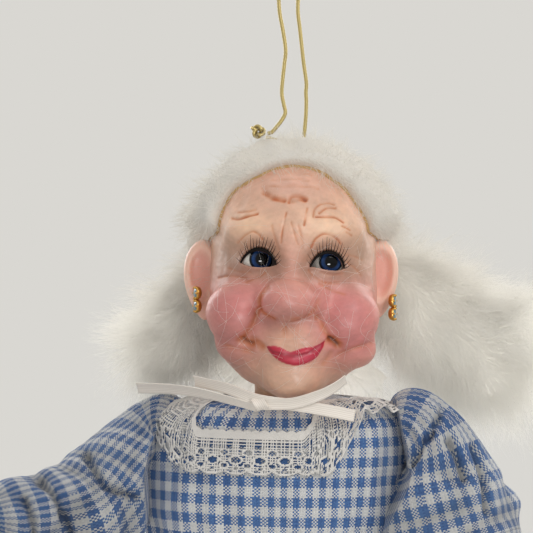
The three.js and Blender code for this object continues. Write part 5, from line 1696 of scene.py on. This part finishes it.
skirt_uv = together(np.linspace(0, hem_mm, SKIRT_AROUND + 1), -fall_mm[:, None])
skirt = cloth("gingham_skirt", dress(skirt_grid), skirt_uv, gingham)
fitted(skirt, "torso", "skirt")
print("hem in mm:", round(hem_mm), "length in mm:", round(fall_mm[-1], 1))

# %% Stitch tree
stitch_tree, given, out = geometry_tree(
    "running_stitch", ("Pitch", "Float", 0.003), ("Length", "Float", 0.0016), ("Thread", "Float", 0.00012),
)
add = partial(node, stitch_tree)
seam = add("GeometryNodeMeshToCurve", {"Mesh": given["Geometry"]}).outputs[0]
spaced = add("GeometryNodeCurveToPoints", {"Curve": seam, "Length": given["Pitch"]}, mode="LENGTH").outputs
aim = add("FunctionNodeAlignRotationToVector", {"Vector": spaced["Tangent"]}, axis="Z").outputs[0]
bead = add("GeometryNodeMeshUVSphere", {"Segments": 8, "Rings": 6, "Radius": 1.0}).outputs[0]
long = sums(stitch_tree, "MULTIPLY", given["Length"], 0.5)
size = add("ShaderNodeCombineXYZ", {0: given["Thread"], 1: given["Thread"], 2: long}).outputs[0]
placed = {"Points": spaced["Points"], "Instance": bead, "Rotation": aim, "Scale": size}
hand_out(stitch_tree, add("GeometryNodeInstanceOnPoints", placed).outputs[0], given["Material"], out)

# %% Hem stitches
HEM_ROW, STITCH_PITCH, STITCH_LENGTH, STITCH_THREAD = -4, 3.0, 1.7, 0.13
cotton = two_toned(
    "white_cotton", 0.85, (3.0, 0.3), "Fine", "#dedbd5", "#f3f1ec", (0.35, 0.0002), Sheen_Weight=0.1,
)
hem_row = dress(skirt_grid[HEM_ROW])
seam_points = hem_row + unit((hem_row - hem_row.mean(0)) * (1, 1, 0)) * 0.05
seam = bpy.data.meshes.new("hem_path")
seam.from_pydata(metres(seam_points), [(i, (i + 1) % SKIRT_AROUND) for i in range(SKIRT_AROUND)], [])
seam_base = linked("hem_path", seam)
hem = grow(
    stitch_tree, seam_base, "hem_stitches", Pitch=STITCH_PITCH * MM, Length=STITCH_LENGTH * MM,
    Thread=STITCH_THREAD * MM, Material=cotton,
)
bpy.data.objects.remove(seam_base)
fitted(hem, "torso")

# %% [markdown]
# ## Buttons
# Three pearl buttons close the blouse down the back. Each is turned, with a raised rim, and two stitches
# hold it.

# %% Pearl buttons
BACKWARD = DRESS_TURN + 180
BUTTON_PROFILE = [
    (0.0, 0.0), (1.9, 0.05), (2.0, -0.45), (1.85, -0.95), (1.55, -1.1), (1.2, -0.8), (0.0, -0.75),
]
STITCH_ARCH = np.array([(0, -0.25, -0.7), (0, -0.5, 0), (0, -0.25, 0.7)])
pearl = two_toned(
    "button_pearl", 0.22, (1.8, 0.6), "Value", "#d8d2cd", "#f4eeea", Coat_Weight=0.5, Coat_Roughness=0.08,
)
for name in ("bottom", "middle", "top"):
    low_corner, high_corner = np.array(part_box(f"button_{name}")) / MM
    middle = (low_corner + high_corner) / 2
    points, faces = lathe(BUTTON_PROFILE, 28)
    button = piece(f"pearl_button_{name}", turned(points + (0, 0.55, 0), BACKWARD, middle), faces, pearl)
    thread = [turned(STITCH_ARCH + (x, 0, 0), BACKWARD, middle) for x in (-0.3, 0.3)]
    stitch = piece(f"button_thread_{name}", *tubes(thread, np.full(3, 0.12), 6), cotton)
    fitted(button, "torso", f"button_{name}")
    fitted(stitch, "torso")

# %% [markdown]
# ## Stuffed body and limbs
# Under the dress is a muslin body, stuffed firm, with arms and legs that bend on wires. They are soft turned
# forms, so each is a run of rings with a seam line pressed in, and a slight unevenness from the stuffing.

# %% Muslin and stocking finishes
muslin = two_toned("muslin", 0.9, (4.0, 0.35), "Fine", "#d3c4a8", "#eadfc6", (0.4, 0.0002))
stocking, tree, surface = new_finish("stocking_knit", 0.85)
calc = partial(sums, tree)
part = axes(tree, uv_place(tree))
wale = calc("ABSOLUTE", calc("SINE", calc("MULTIPLY", part[0], 4.2)))
course = calc("ADD", calc("MULTIPLY", part[1], 4.6), calc("MULTIPLY", wale, 1.1))
knit = calc("MULTIPLY", wale, calc("ABSOLUTE", calc("SINE", course)))
coat(surface, between(tree, knit, "#d5d3cf", "#f5f3f0"), knit, (0.6, 0.0002))
LIMB_SIDES, LIMB_FILL = 40, 0.85
LIMB_LOOKS = {"muslin": (muslin, "muslin"), "stocking": (stocking, "stocking_knit")}


def limb(kind, body, start, run, profile, seed, rows=40):
    """A stuffed limb: rings of a profile of distance and radius along a run, with a seam at its back."""
    material, slot = LIMB_LOOKS[kind]
    table = resampled(profile, rows)
    gone, radius = table[:, :1], table[:, 1:2]
    run = unit(run)
    aside = unit(np.cross(run, (0.0, 1.0, 0.02)))
    angle = circle(LIMB_SIDES)
    path = (np.asarray(start, float) + run * gone)[:, None]
    seam_dip = 1 - 0.035 * bell(np.degrees(angle) - 180, 9)
    ring = hoop(aside, np.cross(run, aside), angle)
    rings = path + ring * (np.maximum(radius, 0.05) * seam_dip)[..., None]
    rings += unit(rings - path) * (-0.1 + 0.09 * ripple(rings, 7, 120 + seed))[..., None]
    uv = together(np.linspace(0, 2 * math.pi * radius.max(), LIMB_SIDES + 1), gone)
    points, faces = closed_grid(dress(rings))
    ends = np.repeat([uv[0, 0], uv[-1, 0]], LIMB_SIDES * 3, 0)
    corners = np.vstack([grid_uv(uv, faces[0][0] != 0), ends])
    made = piece(f"{kind}_{body}", points, faces, material, corners)
    fitted(made, body, body)


# %% Body and arms
BODY_AROUND, BODY_STEPS = 96, 60
body_rows = resampled(BODY_RINGS, BODY_STEPS)
body_grid = ovals(body_rows[:, 1:2], body_rows[:, 2:3], body_rows[:, :1], circle(BODY_AROUND))
body_grid = bend_along(body_grid, 0.1 * ripple(body_grid, 9, 118) - 0.15)
body = piece("muslin_body", *closed_grid(dress(body_grid)), muslin)
fitted(body, "torso", "body_stuffing")
UPPER_PROFILE = [
    (-4.9, 0.3), (-3.6, 3.4), (0, 5.0), (3.4, 4.3), (8, 4.45), (18, 4.5), (25.6, 4.1),
    (26.6, 2.2), (26.7, 0.3),
]
FORE_PROFILE = [
    (-4.5, 0.3), (-3.3, 3.1), (0, 4.6), (3.2, 3.9), (8, 4.2), (17, 4.0), (26, 3.2), (29.2, 3.0), (29.4, 0.3),
]
for side, (upper, fore) in ARM_RUNS.items():
    shoulder = SHOULDERS[side]
    limb("muslin", f"upper_arm_{side}", shoulder, upper, UPPER_PROFILE, 1)
    limb("muslin", f"forearm_{side}", shoulder + UPPER_ARM * upper, fore, FORE_PROFILE, 2)

# %% [markdown]
# ## Legs
# White knitted stockings cover the shins, short cotton bloomers the thighs. The bloomers are gathered at both
# ends over a hidden elastic and finish in a small frill just above the knee.

# %% Thighs, shins and bloomers
HIPS = {side: np.array((12.5 * out, 0, -210.3)) for side, out in SIDES.items()}
THIGH, SHIN, DOWNWARD = 43.0, 54.0, np.array((0, 0, -1.0))
THIGH_PROFILE = [
    (-6.9, 0.3), (-5, 4.8), (0, 7.0), (4.6, 6.0), (11, 7.0), (24, 7.1), (34, 6.0), (36.4, 4.4), (36.6, 0.3),
]
SHIN_PROFILE = [
    (-5.4, 0.3), (-4, 3.7), (0, 5.5), (4.2, 4.9), (16, 5.65), (30, 5.0), (46, 4.05),
    (53.6, 3.95), (53.8, 0.3),
]
BLOOMER_PROFILE = [
    (10.8, 7.9, 0.03), (12, 8.6, 0.06), (17, 10.0, 0.04), (25, 10.35, 0.03), (32, 9.6, 0.04),
    (34.6, 8.1, 0.06), (36.4, 7.9, 0.05), (38.2, 8.9, 0.09),
]
BLOOMER_AROUND, BLOOMER_ROWS, BLOOMER_GIRTH = 96, 50, 66
angle = circle(BLOOMER_AROUND)
rows = resampled(BLOOMER_PROFILE, BLOOMER_ROWS)
radius = rows[:, 1:2] * (1 + rows[:, 2:3] * np.cos(16 * angle + 0.7 * np.sin(3 * angle)))
bloomer_uv = together(np.linspace(0, BLOOMER_GIRTH, BLOOMER_AROUND + 1), rows[:, :1])
for side, hip in HIPS.items():
    limb("muslin", f"thigh_{side}", hip, DOWNWARD, THIGH_PROFILE, 3)
    limb("stocking", f"shin_{side}", hip + DOWNWARD * THIGH, DOWNWARD, SHIN_PROFILE, 4, 60)
    grid = hip + ovals(radius, radius, -rows[:, :1], angle)
    bloomer = cloth(f"cotton_bloomer_{side}", dress(grid), bloomer_uv, cotton)
    fitted(bloomer, f"thigh_{side}", f"bloomer_{side}")

# %% [markdown]
# ## Shoes
# Plain black shoes with a strap. The upper is a run of rings from heel to toe, flat below, with a sole that
# stands out a little and a strap across the instep.

# %% Shoe pieces
shoe_black = two_toned(
    "shoe_black", 0.32, (3.0, 0.5), "Value", "#15120f", "#2b2622", (0.15, 0.0002), Coat_Weight=0.25,
    Coat_Roughness=0.15,
)
SHOE_PROFILE = [
    (0.0, 0.3, 4.6), (0.05, 3.4, 8.6), (0.16, 5.1, 10.6), (0.34, 5.5, 10.4), (0.52, 5.7, 8.4),
    (0.74, 6.1, 7.6), (0.9, 5.0, 6.4), (0.98, 2.6, 4.4), (1.0, 0.3, 2.6),
]
STRAP_ROUTE = [(-5.2, -2.2, 6.2), (-4.2, -2.4, 9.2), (0, -2.6, 11.2), (4.2, -2.4, 9.2), (5.2, -2.2, 6.2)]
HEEL_BACK, SHOE_LENGTH, SOLE_THICK = 7.6, 26.4, 1.3
rows = resampled(SHOE_PROFILE, 50)
angle = np.linspace(0, 2 * math.pi, 48, endpoint=False)
s, c = np.sin(angle), np.cos(angle)
lengthwise = HEEL_BACK - rows[:, :1] * SHOE_LENGTH
x = rows[:, 1:2] * np.sign(s) * np.abs(s) ** 0.8
z = np.where(c > 0, rows[:, 2:3] * np.maximum(c, 0) ** 0.8, 0.9 * c)
upper = closed_grid(together(x, lengthwise, z + SOLE_THICK))
sole = closed_grid(together(x * 1.07, lengthwise * 1.01, np.where(c > 0, 1.7, 0.05)))
strap_path, _ = even_path(STRAP_ROUTE, 0.4)
shoe_points, shoe_faces = joined(upper, sole, tubes([strap_path], np.full(len(strap_path), 0.75), 8))
for side, hip in HIPS.items():
    ankle = dress(hip + DOWNWARD * (THIGH + SHIN))
    place = np.array((ankle[0], ankle[1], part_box(f"shoe_{side}")[0][2] / MM))
    shoe = piece(f"strap_shoe_{side}", turned(shoe_points, DRESS_TURN, place), shoe_faces, shoe_black)
    fitted(shoe, f"shin_{side}", f"shoe_{side}")

# %% [markdown]
# ## Hands
# The hands are clay like the head, with four fingers and a thumb pressed from one lump. Eggs along each
# finger are melted together by a voxel remesh and smoothed, as a modeller's thumb would.

# %% Clay hands
HAND_EGGS = [
    ((0, 0, -4.5), (6.4, 3.6, 10.5)), ((0, 0.1, -8.6), (7.6, 3.4, 7.5)), ((0, 0, -1.2), (5.4, 4.6, 5.5)),
]
FINGERS = ((-2.7, 6.6), (-0.9, 8.2), (0.9, 7.8), (2.7, 6.0))
FINGER_STEPS = np.arange(6) / 5
for x, length in FINGERS:
    for t in FINGER_STEPS:
        egg = (x * (1 + 0.18 * t), -0.9 * t * t, -10.4 - length * t), (1.95 - 0.35 * t, 1.9 - 0.3 * t, 2.6)
        HAND_EGGS.append(egg)
for t in FINGER_STEPS:
    egg = (3.0 + 2.4 * t, -0.8 - 1.2 * t, -4.6 - 5.0 * t), (2.5 - 0.5 * t, 2.4 - 0.5 * t, 2.8)
    HAND_EGGS.append(egg)
HAND_VOXEL, HAND_TONE = 0.42, "#d9ab92"
egg_fall, egg_turn = np.linspace(0.08, math.pi - 0.08, 12)[:, None], circle(16)
ball = together(np.sin(egg_fall) * np.cos(egg_turn), np.sin(egg_fall) * np.sin(egg_turn), np.cos(egg_fall))
hand_points, hand_faces = joined(*(closed_grid(ball * size / 2 + middle) for middle, size in HAND_EGGS))
for side, (upper, fore) in ARM_RUNS.items():
    wrist = SHOULDERS[side] + UPPER_ARM * upper + (FOREARM + 0.3) * fore
    aim = Vector(fore).to_track_quat("-Z", "Y").to_matrix()
    if side == "right":
        aim = aim @ Matrix.Rotation(math.pi, 3, "Z")
    rough = piece("hand_lumps", dress(hand_points @ np.array(aim).T + wrist), hand_faces, clay_skin)
    remesh = rough.modifiers.new("melt", "REMESH")
    remesh.mode, remesh.voxel_size = "VOXEL", HAND_VOXEL * MM
    soften = rough.modifiers.new("soften", "SMOOTH")
    soften.factor, soften.iterations = 0.5, 6
    hand = as_piece(rough.evaluated_get(bpy.context.evaluated_depsgraph_get()), f"clay_hand_{side}")
    bpy.data.objects.remove(rough)
    coloured(hand, np.repeat([paint(HAND_TONE)], len(hand.data.vertices), 0))
    fitted(hand, f"forearm_{side}", f"hand_{side}")

# %% [markdown]
# ## The CAD pieces that stay
# Wires, the neck peg and the wire eye under the crown are plain turned or bent pieces, so the CAD
# solids stay, with a metal or wood finish.

# %% Finishes of the kept CAD pieces
steel = two_toned("steel_wire", 0.35, (1.0, 0.2), "Fine", "#7d7f80", "#a9abac", Metallic=1.0)
peg_wood, tree, surface = new_finish("peg_wood", 0.6)
along_peg = node(tree, "ShaderNodeMapping", {"Vector": object_place(tree), "Scale": (1.0, 1.0, 0.12)})
grain = mottled(tree, 1.2, 0.3, along_peg.outputs[0])
coat(surface, between(tree, grain["Value"], "#b68a5a", "#dcb988"))
KEPT = {"neck_peg": peg_wood, "crown_eye": gold_metal}
for limb_name in ("upper_arm", "forearm", "thigh", "shin"):
    for side in SIDES:
        KEPT[f"{limb_name}_wire_{side}"] = steel
for name, material in KEPT.items():
    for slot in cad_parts[name].material_slots:
        slot.material = material
print("CAD pieces kept:", len(KEPT))
